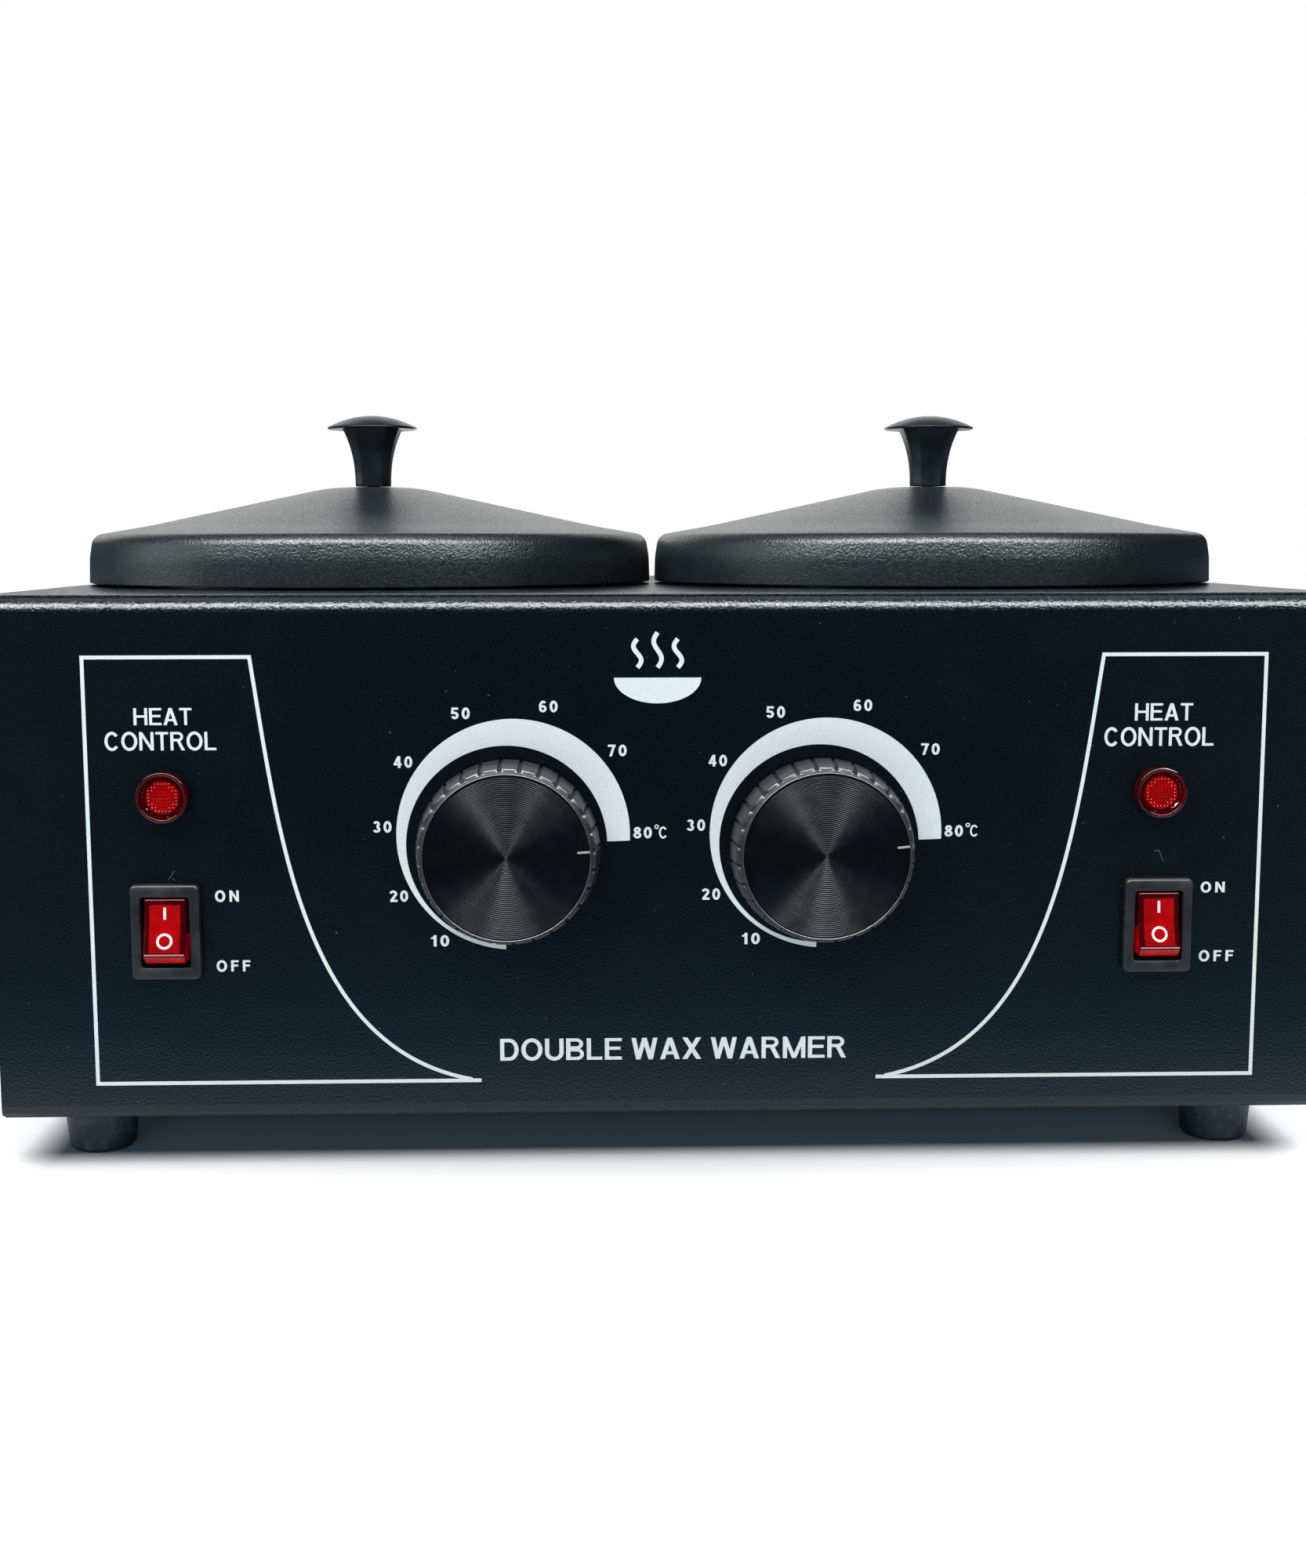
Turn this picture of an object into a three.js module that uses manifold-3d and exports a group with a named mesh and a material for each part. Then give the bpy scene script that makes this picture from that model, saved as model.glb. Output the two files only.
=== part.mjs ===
// Double wax warmer: a folded sheet-metal case on four rubber feet, with two
// heated wells, two removable pots under lift-off lids, and for each well a
// thermostat knob, a pilot lamp and a rocker switch on the front panel.
//
// Units are millimetres. +X runs to the right of someone facing the front
// panel, +Y runs to the back and +Z up. The origin is on the table, under the
// middle of the whole object's box.

import * as THREE from 'three';
import { mergeVertices } from 'three/addons/utils/BufferGeometryUtils.js';
import Module from 'manifold-3d';

const wasm = await Module();
wasm.setup();

// ---------------------------------------------------------------- dimensions

const gap = 0.3; // clearance between pieces that touch
const sheet = 1.0; // thickness of the case's sheet metal

const caseWidth = 294;
const caseDepth = 200;
const caseHeight = 115.2;
const caseBottom = 11.5; // lower edge of the cover, above the table
const foldRadius = 3.5; // outside radius of the cover's two long folds
const foldSteps = 12; // flats that stand for each quarter-round fold
const frontY = -99;

const backY = frontY + caseDepth;
const caseTop = caseBottom + caseHeight;
const caseSide = caseWidth / 2;

const basePanBottom = caseBottom - 0.5;
const basePanFlange = 11;
const sidePanDepth = 10;

const footInsetX = 17.8;
const footInsetY = 16.5;
const footTopRadius = 8.7;
const footBottomRadius = 7.4;
const footHeight = basePanBottom - gap;

const screwRadius = 1.6;
const screwHole = screwRadius + gap;

const wellSpacing = 147.5; // distance between the axes of the two wells
const wellY = frontY + 100;
const wellRadius = 60; // outside of the well's wall
const wellWall = 0.8;
const wellDepth = 73;
const wellFlangeRadius = 66;

const potRadius = 57.6; // outside of the pot's wall
const potWall = 1.2;
const potDepth = 64;
const potNeckRadius = 62.4;
const potRimRadius = 65.6;
const potRimTop = 12.3; // above the case's top, where the lid rests

const heaterWall = 2;
const heaterBottom = -60; // heights of band and sleeve count from the case's top
const heaterHeight = 35;
const earLength = 5.5; // of the band's clamp ears
const sleeveWall = 6.6;
const sleeveBottom = -68;
const sleeveHeight = 60;

const lidRadius = 73.1;
const lidWall = 1.0;
const lidSkirtBottom = 0.6;
const lidShoulderHeight = 10.95;
const lidTopHeight = 25.2;
const lidTopRadius = 11.2;

const lidKnobStem = 15.1;
const lidKnobStemNarrow = 8.9;
const lidKnobStemWide = 15;
const lidKnobCapRadius = 11.8;
const lidKnobCapHeight = 3.1;

const controlX = 34.3; // knobs, each side of the middle
const controlZ = 70.9;
const knobRestTurn = { left: 3.3, right: 5.9 }; // degrees past level, to the marker
const knobBaseRadius = 20.1;
const knobRimRadius = 18.6;
const knobBack = 2; // from the panel to the knob's back edge
const knobFront = 12.1; // from the panel to the knob's front rim
const knobGripCount = 28;
const shaftRadius = 3;
const bushRadius = 4.7;

const switchX = 109.2;
const switchZ = 53.3;
const bezelWidth = 15;
const bezelHeight = 21;
const bezelThickness = 2;
const barrelWidth = 13;
const barrelHeight = 19;
const barrelDepth = 17;
const rockerFaceWidth = 8.9;
const rockerBaseWidth = 10.1;
const rockerOpeningWidth = 10.7;
const rockerOpeningHeight = 15.7;
const rockerPivotDepth = 5.5; // from the front of the bezel to the pivot
const rockerEndRadius = 8.75; // of the rocker's two curved ends, about the pivot
const rockerThrow = 12; // degrees each side of the middle position

const lampX = 108.8;
const lampZ = 83.1;
const lampRadius = 5.5;
const lampBarrelRadius = 4.6;

const glandX = 95;
const glandZ = 34;
const glandReach = 10.4; // how far the gland stands out of the back
const cordWayRadius = 3.6;

// ------------------------------------------------------------------ materials

const paint = (color, roughness, metalness) => ({ color, roughness, metalness });

const finishes = {
  pebbleCoat: paint(0x0c1519, 0.55, 0.2),
  lidCoat: paint(0x2e3336, 0.5, 0.3),
  blackPlastic: paint(0x0b0c0e, 0.4, 0.0),
  spunMetal: paint(0x1a1b1e, 0.3, 0.9),
  silver: paint(0xc9ccd0, 0.25, 1.0),
  aluminium: paint(0xb8bbbf, 0.35, 1.0),
  heaterSteel: paint(0x8a8a86, 0.45, 1.0),
  glassWool: paint(0xd9d3bd, 0.95, 0.0),
  brass: paint(0xb08d4a, 0.35, 1.0),
  zinc: paint(0x9da1a6, 0.35, 1.0),
  rubber: paint(0x14171c, 0.85, 0.0),
  redLens: paint(0x960000, 0.12, 0.0),
  redRocker: paint(0xc00008, 0.2, 0.0),
  ceramic: paint(0xe8e4da, 0.5, 0.0),
  leadSleeve: paint(0x8f2a1f, 0.6, 0.0),
};

// -------------------------------------------------------------- solid helpers

const warmer = new THREE.Group();

/** Adds one named piece, in its own material, to a group. */
function add(parent, name, geometry, finish) {
  const mesh = new THREE.Mesh(geometry, new THREE.MeshStandardMaterial(finish));
  mesh.name = name;
  parent.add(mesh);
  return mesh;
}

/** Six times the volume that a triangle list encloses; negative when it is inside out. */
function signedVolume(position, index) {
  const [a, b, c] = [new THREE.Vector3(), new THREE.Vector3(), new THREE.Vector3()];
  let total = 0;
  for (let i = 0; i < index.length; i += 3) {
    a.fromBufferAttribute(position, index[i]);
    b.fromBufferAttribute(position, index[i + 1]);
    c.fromBufferAttribute(position, index[i + 2]);
    total += a.dot(b.cross(c));
  }
  return total;
}

/** Merges shared corners, drops collapsed triangles and turns the faces outward. */
function tidied(geometry) {
  const bare = new THREE.BufferGeometry();
  bare.setAttribute('position', geometry.getAttribute('position'));
  bare.setIndex(geometry.index);
  const merged = mergeVertices(bare, 1e-4);
  const index = [];
  for (let i = 0; i < merged.index.count; i += 3) {
    const [a, b, c] = [0, 1, 2].map((k) => merged.index.getX(i + k));
    if (a !== b && b !== c && c !== a) {
      index.push(a, b, c);
    }
  }
  if (signedVolume(merged.getAttribute('position'), index) < 0) {
    index.reverse();
  }
  merged.setIndex(index);
  merged.computeVertexNormals();
  return merged;
}

function toManifold(geometry) {
  const closed = tidied(geometry);
  return new wasm.Manifold(new wasm.Mesh({
    numProp: 3,
    vertProperties: new Float32Array(closed.getAttribute('position').array),
    triVerts: new Uint32Array(closed.index.array),
  }));
}

function toGeometry(manifold) {
  const { vertProperties, triVerts } = manifold.getMesh();
  const geometry = new THREE.BufferGeometry();
  geometry.setAttribute('position', new THREE.BufferAttribute(new Float32Array(vertProperties), 3));
  geometry.setIndex(new THREE.BufferAttribute(new Uint32Array(triVerts), 1));
  geometry.computeVertexNormals();
  return geometry;
}

function cut(body, tools) {
  return toGeometry(tools.reduce((left, tool) => left.subtract(toManifold(tool)), toManifold(body)));
}

function join(pieces) {
  const [first, ...rest] = pieces;
  return toGeometry(rest.reduce((sum, piece) => sum.add(toManifold(piece)), toManifold(first)));
}

/** A solid turned about +Z from [radius, height] points. */
function turned(profile, segments) {
  const points = profile.map(([radius, height]) => new THREE.Vector2(radius, height));
  return tidied(new THREE.LatheGeometry(points, segments).rotateX(Math.PI / 2));
}

/** A turned solid whose profile never reaches the axis: the last point returns to the first. */
function turnedRing(profile, segments) {
  return turned([...profile, profile[0]], segments);
}

/** A round bar along +Z between two heights. */
function rod(radius, bottom, top, segments = 16) {
  return turned([[0, bottom], [radius, bottom], [radius, top], [0, top]], segments);
}

/** A box given by its lowest and highest corners. */
function block([x0, y0, z0], [x1, y1, z1]) {
  const box = new THREE.BoxGeometry(x1 - x0, y1 - y0, z1 - z0);
  return box.translate((x0 + x1) / 2, (y0 + y1) / 2, (z0 + z1) / 2);
}

/** A prism whose outline lies in X and Y, from one height to another. */
function prism(outline, bottom, top, curveSegments = 4) {
  const options = { depth: top - bottom, bevelEnabled: false, curveSegments };
  return new THREE.ExtrudeGeometry(outline, options).translate(0, 0, bottom);
}

/** Turns a prism made in X and Y so that its outline lies in Y and Z and it runs along +X. */
function alongX(geometry) {
  const yAxis = new THREE.Vector3(0, 1, 0);
  const zAxis = new THREE.Vector3(0, 0, 1);
  const xAxis = new THREE.Vector3(1, 0, 0);
  return geometry.applyMatrix4(new THREE.Matrix4().makeBasis(yAxis, zAxis, xAxis));
}

/** A rectangle with its four corners rounded, or chamfered when arcs is false. */
function cornered(width, height, corner, arcs = true) {
  const [w, h] = [width / 2, height / 2];
  const shape = new THREE.Shape();
  const corners = [[1, 1, 0], [-1, 1, 1], [-1, -1, 2], [1, -1, 3]];
  corners.forEach(([sx, sy, quarter]) => {
    const [cx, cy] = [sx * (w - corner), sy * (h - corner)];
    const start = quarter * Math.PI / 2;
    if (arcs) {
      shape.absarc(cx, cy, corner, start, start + Math.PI / 2, false);
    } else {
      for (const angle of [start, start + Math.PI / 2]) {
        shape.lineTo(cx + corner * Math.cos(angle), cy + corner * Math.sin(angle));
      }
    }
  });
  return shape;
}

/** Points on an arc, in [radius, height] form, from one angle to another in degrees. */
function arcPoints(centre, radius, from, to, steps) {
  return Array.from({ length: steps + 1 }, (_, i) => {
    const angle = THREE.MathUtils.degToRad(from + (to - from) * i / steps);
    return [centre[0] + radius * Math.cos(angle), centre[1] + radius * Math.sin(angle)];
  });
}

/** A solid through a stack of closed sections that all have the same number of points. */
function lofted(sections) {
  const count = sections[0].length;
  const last = sections.length - 1;
  const positions = sections.flat(2);
  const index = [];
  for (let level = 0; level < last; level += 1) {
    for (let i = 0; i < count; i += 1) {
      const next = (i + 1) % count;
      const [a, b] = [level * count + i, level * count + next];
      index.push(a, b, b + count, a, b + count, a + count);
    }
  }
  for (let i = 1; i < count - 1; i += 1) {
    index.push(0, i + 1, i);
    index.push(last * count, last * count + i, last * count + i + 1);
  }
  const geometry = new THREE.BufferGeometry();
  geometry.setAttribute('position', new THREE.Float32BufferAttribute(positions, 3));
  geometry.setIndex(index);
  return tidied(geometry);
}

/** An insulated lead that follows a smooth curve through the given points. */
function lead(points, radius, steps, sides = 5) {
  const curve = new THREE.CatmullRomCurve3(points.map(([x, y, z]) => new THREE.Vector3(x, y, z)));
  const section = new THREE.Shape();
  for (let i = 0; i < sides; i += 1) {
    const angle = 2 * Math.PI * i / sides;
    section.lineTo(radius * Math.cos(angle), radius * Math.sin(angle));
  }
  return tidied(new THREE.ExtrudeGeometry(section, { steps, extrudePath: curve }));
}

/** A pan-head screw along +Z: head below the shank, with a driver slot across the head. */
function screw(headRadius, headHeight, shankLength) {
  const body = turned([
    [0, 0], [headRadius * 0.8, 0], [headRadius, headHeight], [screwRadius, headHeight],
    [screwRadius, headHeight + shankLength], [0, headHeight + shankLength],
  ], 8);
  const slot = block([-headRadius, -0.4, -1], [headRadius, 0.4, headHeight * 0.4]);
  return cut(body, [slot]);
}

// ---------------------------------------------------------------- case pieces

const coverScrewX = caseSide - 5.3;
const coverScrewZ = [caseBottom + 15, caseTop - 15];

function coverSection() {
  const [inner, topCentre] = [foldRadius - sheet, caseTop - foldRadius];
  const [frontCentre, backCentre] = [frontY + foldRadius, backY - foldRadius];
  const section = new THREE.Shape();
  section.moveTo(frontY, caseBottom);
  section.absarc(frontCentre, topCentre, foldRadius, Math.PI, Math.PI / 2, true);
  section.absarc(backCentre, topCentre, foldRadius, Math.PI / 2, 0, true);
  section.lineTo(backY, caseBottom);
  section.lineTo(backY - sheet, caseBottom);
  section.absarc(backCentre, topCentre, inner, 0, Math.PI / 2, false);
  section.absarc(frontCentre, topCentre, inner, Math.PI / 2, Math.PI, false);
  section.lineTo(frontY + sheet, caseBottom);
  return section;
}

/** A round cutter through a wall that faces the front or the back. */
function wallHole(radius, x, wallY, z, segments = 12) {
  return rod(radius, -3 * sheet, 3 * sheet, segments).rotateX(Math.PI / 2).translate(x, wallY, z);
}

function housingCover() {
  const cutters = [wallHole(cordWayRadius + 4.3, glandX, backY, glandZ)];
  for (const side of [-1, 1]) {
    const topHole = rod(wellRadius + gap, -3 * sheet, 3 * sheet, 32);
    cutters.push(topHole.translate(side * wellSpacing / 2, wellY, caseTop));
    cutters.push(wallHole(bushRadius + gap, side * controlX, frontY, controlZ));
    cutters.push(wallHole(lampBarrelRadius + gap, side * lampX, frontY, lampZ));
    const [halfWidth, halfHeight] = [barrelWidth / 2 + gap, barrelHeight / 2 + gap];
    cutters.push(block(
      [side * switchX - halfWidth, frontY - sheet, switchZ - halfHeight],
      [side * switchX + halfWidth, frontY + 2 * sheet, switchZ + halfHeight],
    ));
    for (const z of coverScrewZ) {
      cutters.push(wallHole(screwHole, side * coverScrewX, backY, z, 8));
    }
  }
  return cut(alongX(prism(coverSection(), -caseSide, caseSide, foldSteps)), cutters);
}

/** One end of the case: a shallow pan inside the cover, open towards the middle. */
function sidePanel(side) {
  const [bottom, top] = [basePanBottom + sheet + gap, caseTop - sheet - gap];
  const [depth, height] = [caseDepth - 2 * (sheet + gap), top - bottom];
  const [middleY, middleZ] = [frontY + caseDepth / 2, (bottom + top) / 2];
  const outer = caseSide - gap;
  const corner = foldRadius - sheet - gap;
  const pan = alongX(prism(cornered(depth, height, corner), outer - sidePanDepth, outer));
  const pocketOutline = cornered(depth - 2 * sheet, height - 2 * sheet, corner - 0.8 * sheet);
  const pocket = alongX(prism(pocketOutline, outer - sidePanDepth - sheet, outer - sheet));
  const cutters = [pocket];
  const [slotLength, slotHeight, slotPitch, slotCount] = [64, 4, 9, 5];
  for (let i = 0; i < slotCount; i += 1) {
    const z = (i - (slotCount - 1) / 2) * slotPitch;
    cutters.push(block(
      [outer - 3 * sheet, -slotLength / 2, z - slotHeight / 2],
      [outer + sheet, slotLength / 2, z + slotHeight / 2],
    ));
  }
  for (const z of coverScrewZ) {
    cutters.push(wallHole(screwHole, coverScrewX, depth / 2, z - middleZ, 8));
  }
  const geometry = cut(pan, cutters).translate(0, middleY, middleZ);
  if (side > 0) {
    return geometry;
  }
  return tidied(geometry.scale(-1, 1, 1));
}

function footPlaces() {
  const [x, front, back] = [caseSide - footInsetX, frontY + footInsetY, backY - footInsetY];
  return {
    front_left: [-x, front],
    front_right: [x, front],
    back_left: [-x, back],
    back_right: [x, back],
  };
}

function basePan() {
  const inset = sheet + gap;
  const [x, front, back] = [caseSide - gap, frontY + inset, backY - inset];
  const flangeX = caseSide - 2 * gap - sidePanDepth;
  const top = basePanBottom + sheet;
  const plate = join([
    block([-x, front, basePanBottom], [x, back, top]),
    block([-flangeX, front, basePanBottom], [flangeX, front + sheet, top + basePanFlange]),
    block([-flangeX, back - sheet, basePanBottom], [flangeX, back, top + basePanFlange]),
  ]);
  const cutters = Object.values(footPlaces()).map(([footX, footY]) => (
    rod(screwHole, basePanBottom - sheet, top + sheet, 8).translate(footX, footY, 0)
  ));
  const [slotLength, slotWidth, slotPitch, slotCount] = [46, 5, 13, 6];
  for (const side of [-1, 1]) {
    for (let i = 0; i < slotCount; i += 1) {
      const y = wellY + (i - (slotCount - 1) / 2) * slotPitch;
      const middleX = side * wellSpacing / 2;
      cutters.push(block(
        [middleX - slotLength / 2, y - slotWidth / 2, basePanBottom - sheet],
        [middleX + slotLength / 2, y + slotWidth / 2, top + sheet],
      ));
    }
  }
  return cut(plate, cutters);
}

const footRecess = { radius: 3.7, height: 4 };

function foot() {
  return turnedRing([
    [screwHole, footHeight], [footTopRadius, footHeight], [footBottomRadius, 0.9],
    [footBottomRadius - 0.7, 0], [footRecess.radius, 0],
    [footRecess.radius, footRecess.height], [screwHole, footRecess.height],
  ], 14);
}

function addCase() {
  add(warmer, 'housing_cover', housingCover(), finishes.pebbleCoat);
  add(warmer, 'side_panel_left', sidePanel(-1), finishes.pebbleCoat);
  add(warmer, 'side_panel_right', sidePanel(1), finishes.pebbleCoat);
  add(warmer, 'base_pan', basePan(), finishes.pebbleCoat);
  const [headRadius, headHeight] = [3.1, 1.9];
  for (const [place, [x, y]] of Object.entries(footPlaces())) {
    add(warmer, `foot_${place}`, foot(), finishes.rubber).position.set(x, y, 0);
    const footScrew = add(warmer, `foot_screw_${place}`, screw(headRadius, headHeight, 12), finishes.zinc);
    footScrew.position.set(x, y, footRecess.height - gap - headHeight);
  }
  for (const [sideName, side] of [['left', -1], ['right', 1]]) {
    for (const [levelName, z] of [['lower', coverScrewZ[0]], ['upper', coverScrewZ[1]]]) {
      const name = `cover_screw_${levelName}_${sideName}`;
      const coverScrew = add(warmer, name, screw(headRadius, headHeight, 8), finishes.zinc);
      coverScrew.rotation.x = Math.PI / 2;
      coverScrew.position.set(side * coverScrewX, backY + gap + headHeight, z);
    }
  }
}

// ----------------------------------------------------- wells, heaters and pots

/** A fixed aluminium cup that hangs by its flange in the cover's round hole. */
function well() {
  const flangeBottom = gap;
  const flangeTop = gap + wellWall;
  const inner = wellRadius - wellWall;
  const [floor, bend] = [-wellDepth, 2.5];
  return turned([
    [0, floor], [wellRadius - bend, floor], [wellRadius, floor + bend], [wellRadius, flangeBottom],
    [wellFlangeRadius, flangeBottom], [wellFlangeRadius, flangeTop], [inner, flangeTop],
    [inner, floor + bend + 0.3], [inner - bend, floor + wellWall], [0, floor + wellWall],
  ], 28);
}

/** The removable cup for the wax, with a stepped neck and a rolled rim. */
function pot() {
  const step = 2 * gap + wellWall + gap;
  const inner = potRadius - potWall;
  const neckInner = potNeckRadius - potWall;
  const [floor, bend] = [-potDepth, 3];
  return turned([
    [0, floor], [potRadius - bend, floor], [potRadius, floor + bend], [potRadius, step],
    [potNeckRadius, step], [potNeckRadius, potRimTop - 1.6], [potRimRadius, potRimTop - 1.6],
    [potRimRadius, potRimTop - 0.6], [potRimRadius - 0.6, potRimTop], [neckInner, potRimTop],
    [neckInner, step + potWall], [inner, step + potWall], [inner, floor + bend + 0.4],
    [inner - bend, floor + potWall], [0, floor + potWall],
  ], 30);
}

/** A heater band: a split ring clamped round the well, with two clamp ears at the front. */
function heaterBand() {
  const inner = wellRadius + gap;
  const outer = inner + heaterWall;
  const top = heaterBottom + heaterHeight;
  const [earThickness, splitWidth] = [1.5, 5];
  const ring = turnedRing([[inner, heaterBottom], [outer, heaterBottom], [outer, top], [inner, top]], 28);
  const split = block([-splitWidth / 2, -outer - 1, heaterBottom - 1], [splitWidth / 2, 0, top + 1]);
  const [earBottom, earTop] = [heaterBottom + 8, top - 8];
  const earAt = (x) => block([x, -outer - earLength, earBottom], [x + earThickness, -inner - 0.6, earTop]);
  return join([cut(ring, [split]), earAt(-splitWidth / 2 - earThickness), earAt(splitWidth / 2)]);
}

const bulb = {
  radius: 2.6,
  bottom: -58,
  top: -16,
  ringRadius: wellRadius + gap + heaterWall + gap + 2.6,
  angle: -Math.PI / 4,
};

/** Where the sensing bulb stands, from the well's axis; each bulb is on the well's inner front side. */
function bulbPlace(side) {
  return [-side * bulb.ringRadius * Math.cos(bulb.angle), bulb.ringRadius * Math.sin(bulb.angle)];
}

/** A glass-wool sleeve outside the heater band, open at the front for its ears and leads. */
function insulationSleeve(side) {
  const inner = wellRadius + heaterWall + 3 * gap;
  const outer = inner + sleeveWall;
  const top = sleeveBottom + sleeveHeight;
  const ring = turnedRing([[inner, sleeveBottom], [outer, sleeveBottom], [outer, top], [inner, top]], 24);
  const window = block([-9, -outer - 1, sleeveBottom - 1], [9, 0, top + 1]);
  const [bulbX, bulbY] = bulbPlace(side);
  const channel = rod(bulb.radius + gap, sleeveBottom - 1, top + 1, 8).translate(bulbX, bulbY, 0);
  return cut(ring, [window, channel]);
}

/** The cone-topped lid with its short skirt, pierced in the middle for the knob's screw. */
function lid() {
  const drop = 1.02 * lidWall;
  const [skirtTop, cornerRadius] = [lidShoulderHeight, 2];
  const cornerCentre = [lidRadius - 0.85 - cornerRadius, skirtTop];
  const bend = { radius: 58, height: 15.1 };
  const outside = [
    [lidRadius, lidSkirtBottom],
    ...arcPoints(cornerCentre, cornerRadius, 5, 80, 2),
    [bend.radius, bend.height],
    [lidTopRadius, lidTopHeight],
    [screwHole, lidTopHeight],
  ];
  const inside = [
    [screwHole, lidTopHeight - drop],
    [lidTopRadius - 0.2, lidTopHeight - drop],
    [bend.radius - 0.2, bend.height - drop],
    ...arcPoints(cornerCentre, cornerRadius - lidWall, 80, 5, 1),
    [lidRadius - lidWall, lidSkirtBottom],
  ];
  return turnedRing([...outside, ...inside], 34);
}

/** A moulded lid knob: a flared square stem with chamfered corners, under a thin domed cap. */
function lidKnob() {
  const levels = [0, 0.4, 0.75, 1];
  const section = (t) => {
    const half = (lidKnobStemNarrow + (lidKnobStemWide - lidKnobStemNarrow) * t ** 2.4) / 2;
    const flat = 0.56 * half;
    const z = t * lidKnobStem;
    const corners = [[half, -flat], [half, flat], [flat, half], [-flat, half]];
    return [...corners, ...corners.map(([x, y]) => [-x, -y])].map(([x, y]) => [x, y, z]);
  };
  const rim = lidKnobStem - 0.2;
  const cap = turned([
    [0, rim], [lidKnobCapRadius - 0.5, rim], [lidKnobCapRadius, rim + 0.45],
    ...[0.9, 0.65, 0.35].map((part) => [
      lidKnobCapRadius * part,
      rim + 0.5 + (lidKnobCapHeight - 0.3) * (1 - part ** 2),
    ]),
    [0, rim + lidKnobCapHeight + 0.2],
  ], 20);
  const bore = rod(screwHole, -1, 11, 8);
  return cut(join([lofted(levels.map(section)), cap]), [bore]);
}

function addWell(sideName, side) {
  const station = new THREE.Group();
  station.position.set(side * wellSpacing / 2, wellY, caseTop);
  warmer.add(station);
  add(station, `well_${sideName}`, well(), finishes.aluminium);
  add(station, `heater_band_${sideName}`, heaterBand(), finishes.heaterSteel);
  add(station, `insulation_${sideName}`, insulationSleeve(side), finishes.glassWool);
  add(station, `pot_${sideName}`, pot(), finishes.aluminium);
  add(station, `lid_${sideName}`, lid(), finishes.lidCoat);
  const knobSeat = lidTopHeight + gap;
  add(station, `lid_knob_${sideName}`, lidKnob(), finishes.blackPlastic).position.z = knobSeat;
  const [headRadius, headHeight] = [3.5, 1.8];
  const lidScrew = add(station, `lid_screw_${sideName}`, screw(headRadius, headHeight, 10.5), finishes.zinc);
  lidScrew.position.z = lidTopHeight - 1.02 * lidWall - gap - headHeight;
}

// ------------------------------------------------------------- panel controls

/** A place on the front panel: local X runs right, local Y up and local Z out of the panel. */
function panelStation(x, z) {
  const station = new THREE.Group();
  station.position.set(x, frontY, z);
  station.rotation.x = Math.PI / 2;
  warmer.add(station);
  return station;
}

const thermostatBack = -20; // distances from the panel's face, into the case
const thermostatFront = -4;

function thermostatBody() {
  const [width, height] = [30, 31];
  const housing = prism(cornered(width, height, 3, false), thermostatBack, thermostatFront);
  const bush = rod(bushRadius, thermostatFront - 0.5, 0.9, 12);
  const strap = block([-19, -6, thermostatFront - 1.2], [19, 6, thermostatFront + 1.8]);
  const blades = [-7, 7].map((x) => (
    block([x - 3.1, -8, thermostatBack - 7], [x + 3.1, -7.2, thermostatBack + 1])
  ));
  const bore = rod(shaftRadius + gap, thermostatBack + 6, 2, 12);
  return cut(join([housing, bush, strap, ...blades]), [bore]);
}

/** The thermostat's shaft, with the flat that turns with the knob. */
function thermostatShaft() {
  const flat = block([shaftRadius - 1, -5, 1.5], [shaftRadius + 1, 5, 12]);
  return cut(rod(shaftRadius, thermostatBack + 6 + gap, 9.2, 12), [flat]);
}

/** The bulb that lies against the heater, with its capillary up and over to the thermostat. */
function sensingBulb(side) {
  const [bulbX, bulbY] = bulbPlace(side);
  const wellX = side * wellSpacing / 2;
  const [x, y, top] = [wellX + bulbX, wellY + bulbY, caseTop + bulb.top];
  const body = rod(bulb.radius, caseTop + bulb.bottom, top, 8).translate(x, y, 0);
  const endY = frontY - thermostatBack + gap;
  const capillary = lead([
    [x, y, top - 1],
    [x, y, top + 6],
    [x, y - 2, top + 11],
    [side * controlX, frontY + 34, top + 6],
    [side * controlX, frontY + 26, controlZ + 16],
    [side * controlX, endY + 2, controlZ + 8],
    [side * controlX, endY, controlZ + 8],
  ], 0.8, 16, 5);
  return join([body, capillary]);
}

/** The knob's outline at one level: a ring of raised grips with a narrow groove after each. */
function gripSection(radius, grooveDepth, z) {
  const points = [];
  for (let i = 0; i < knobGripCount; i += 1) {
    for (const [part, r] of [[0, radius], [0.7, radius], [0.85, radius - grooveDepth]]) {
      const angle = 2 * Math.PI * (i + part) / knobGripCount;
      points.push([r * Math.cos(angle), r * Math.sin(angle), z]);
    }
  }
  return points;
}

const faceRadius = 17.9;
const faceFloor = knobFront - 0.9;
const pointerWidth = 1;
const pointerInner = 14.9;

/** The ribbed knob, hollow behind, with a boss for the shaft and a shallow seat for its face. */
function controlKnob() {
  const grips = lofted([
    gripSection(knobBaseRadius, 0.55, knobBack),
    gripSection(knobRimRadius + 0.4, 0.5, knobFront - 1),
    gripSection(knobRimRadius, 0.1, knobFront),
  ]);
  const ceiling = faceFloor - 1.4;
  const [bossRadius, bossBack] = [5.6, knobBack + 1];
  const hollow = turnedRing([
    [bossRadius, knobBack - 1], [knobBaseRadius - 2.2, knobBack - 1],
    [knobRimRadius - 2.2, ceiling], [bossRadius, ceiling],
  ], 16);
  const shortBoss = rod(bossRadius + 1, knobBack - 1, bossBack, 16);
  const bore = rod(shaftRadius + 0.15, 0, faceFloor - 1, 12);
  const flat = block([shaftRadius - 0.85, -5, 3], [shaftRadius + 1, 5, 11]);
  const seat = rod(faceRadius + gap, faceFloor, knobFront + 1, 28);
  return cut(grips, [hollow, shortBoss, cut(bore, [flat]), seat]);
}

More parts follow.
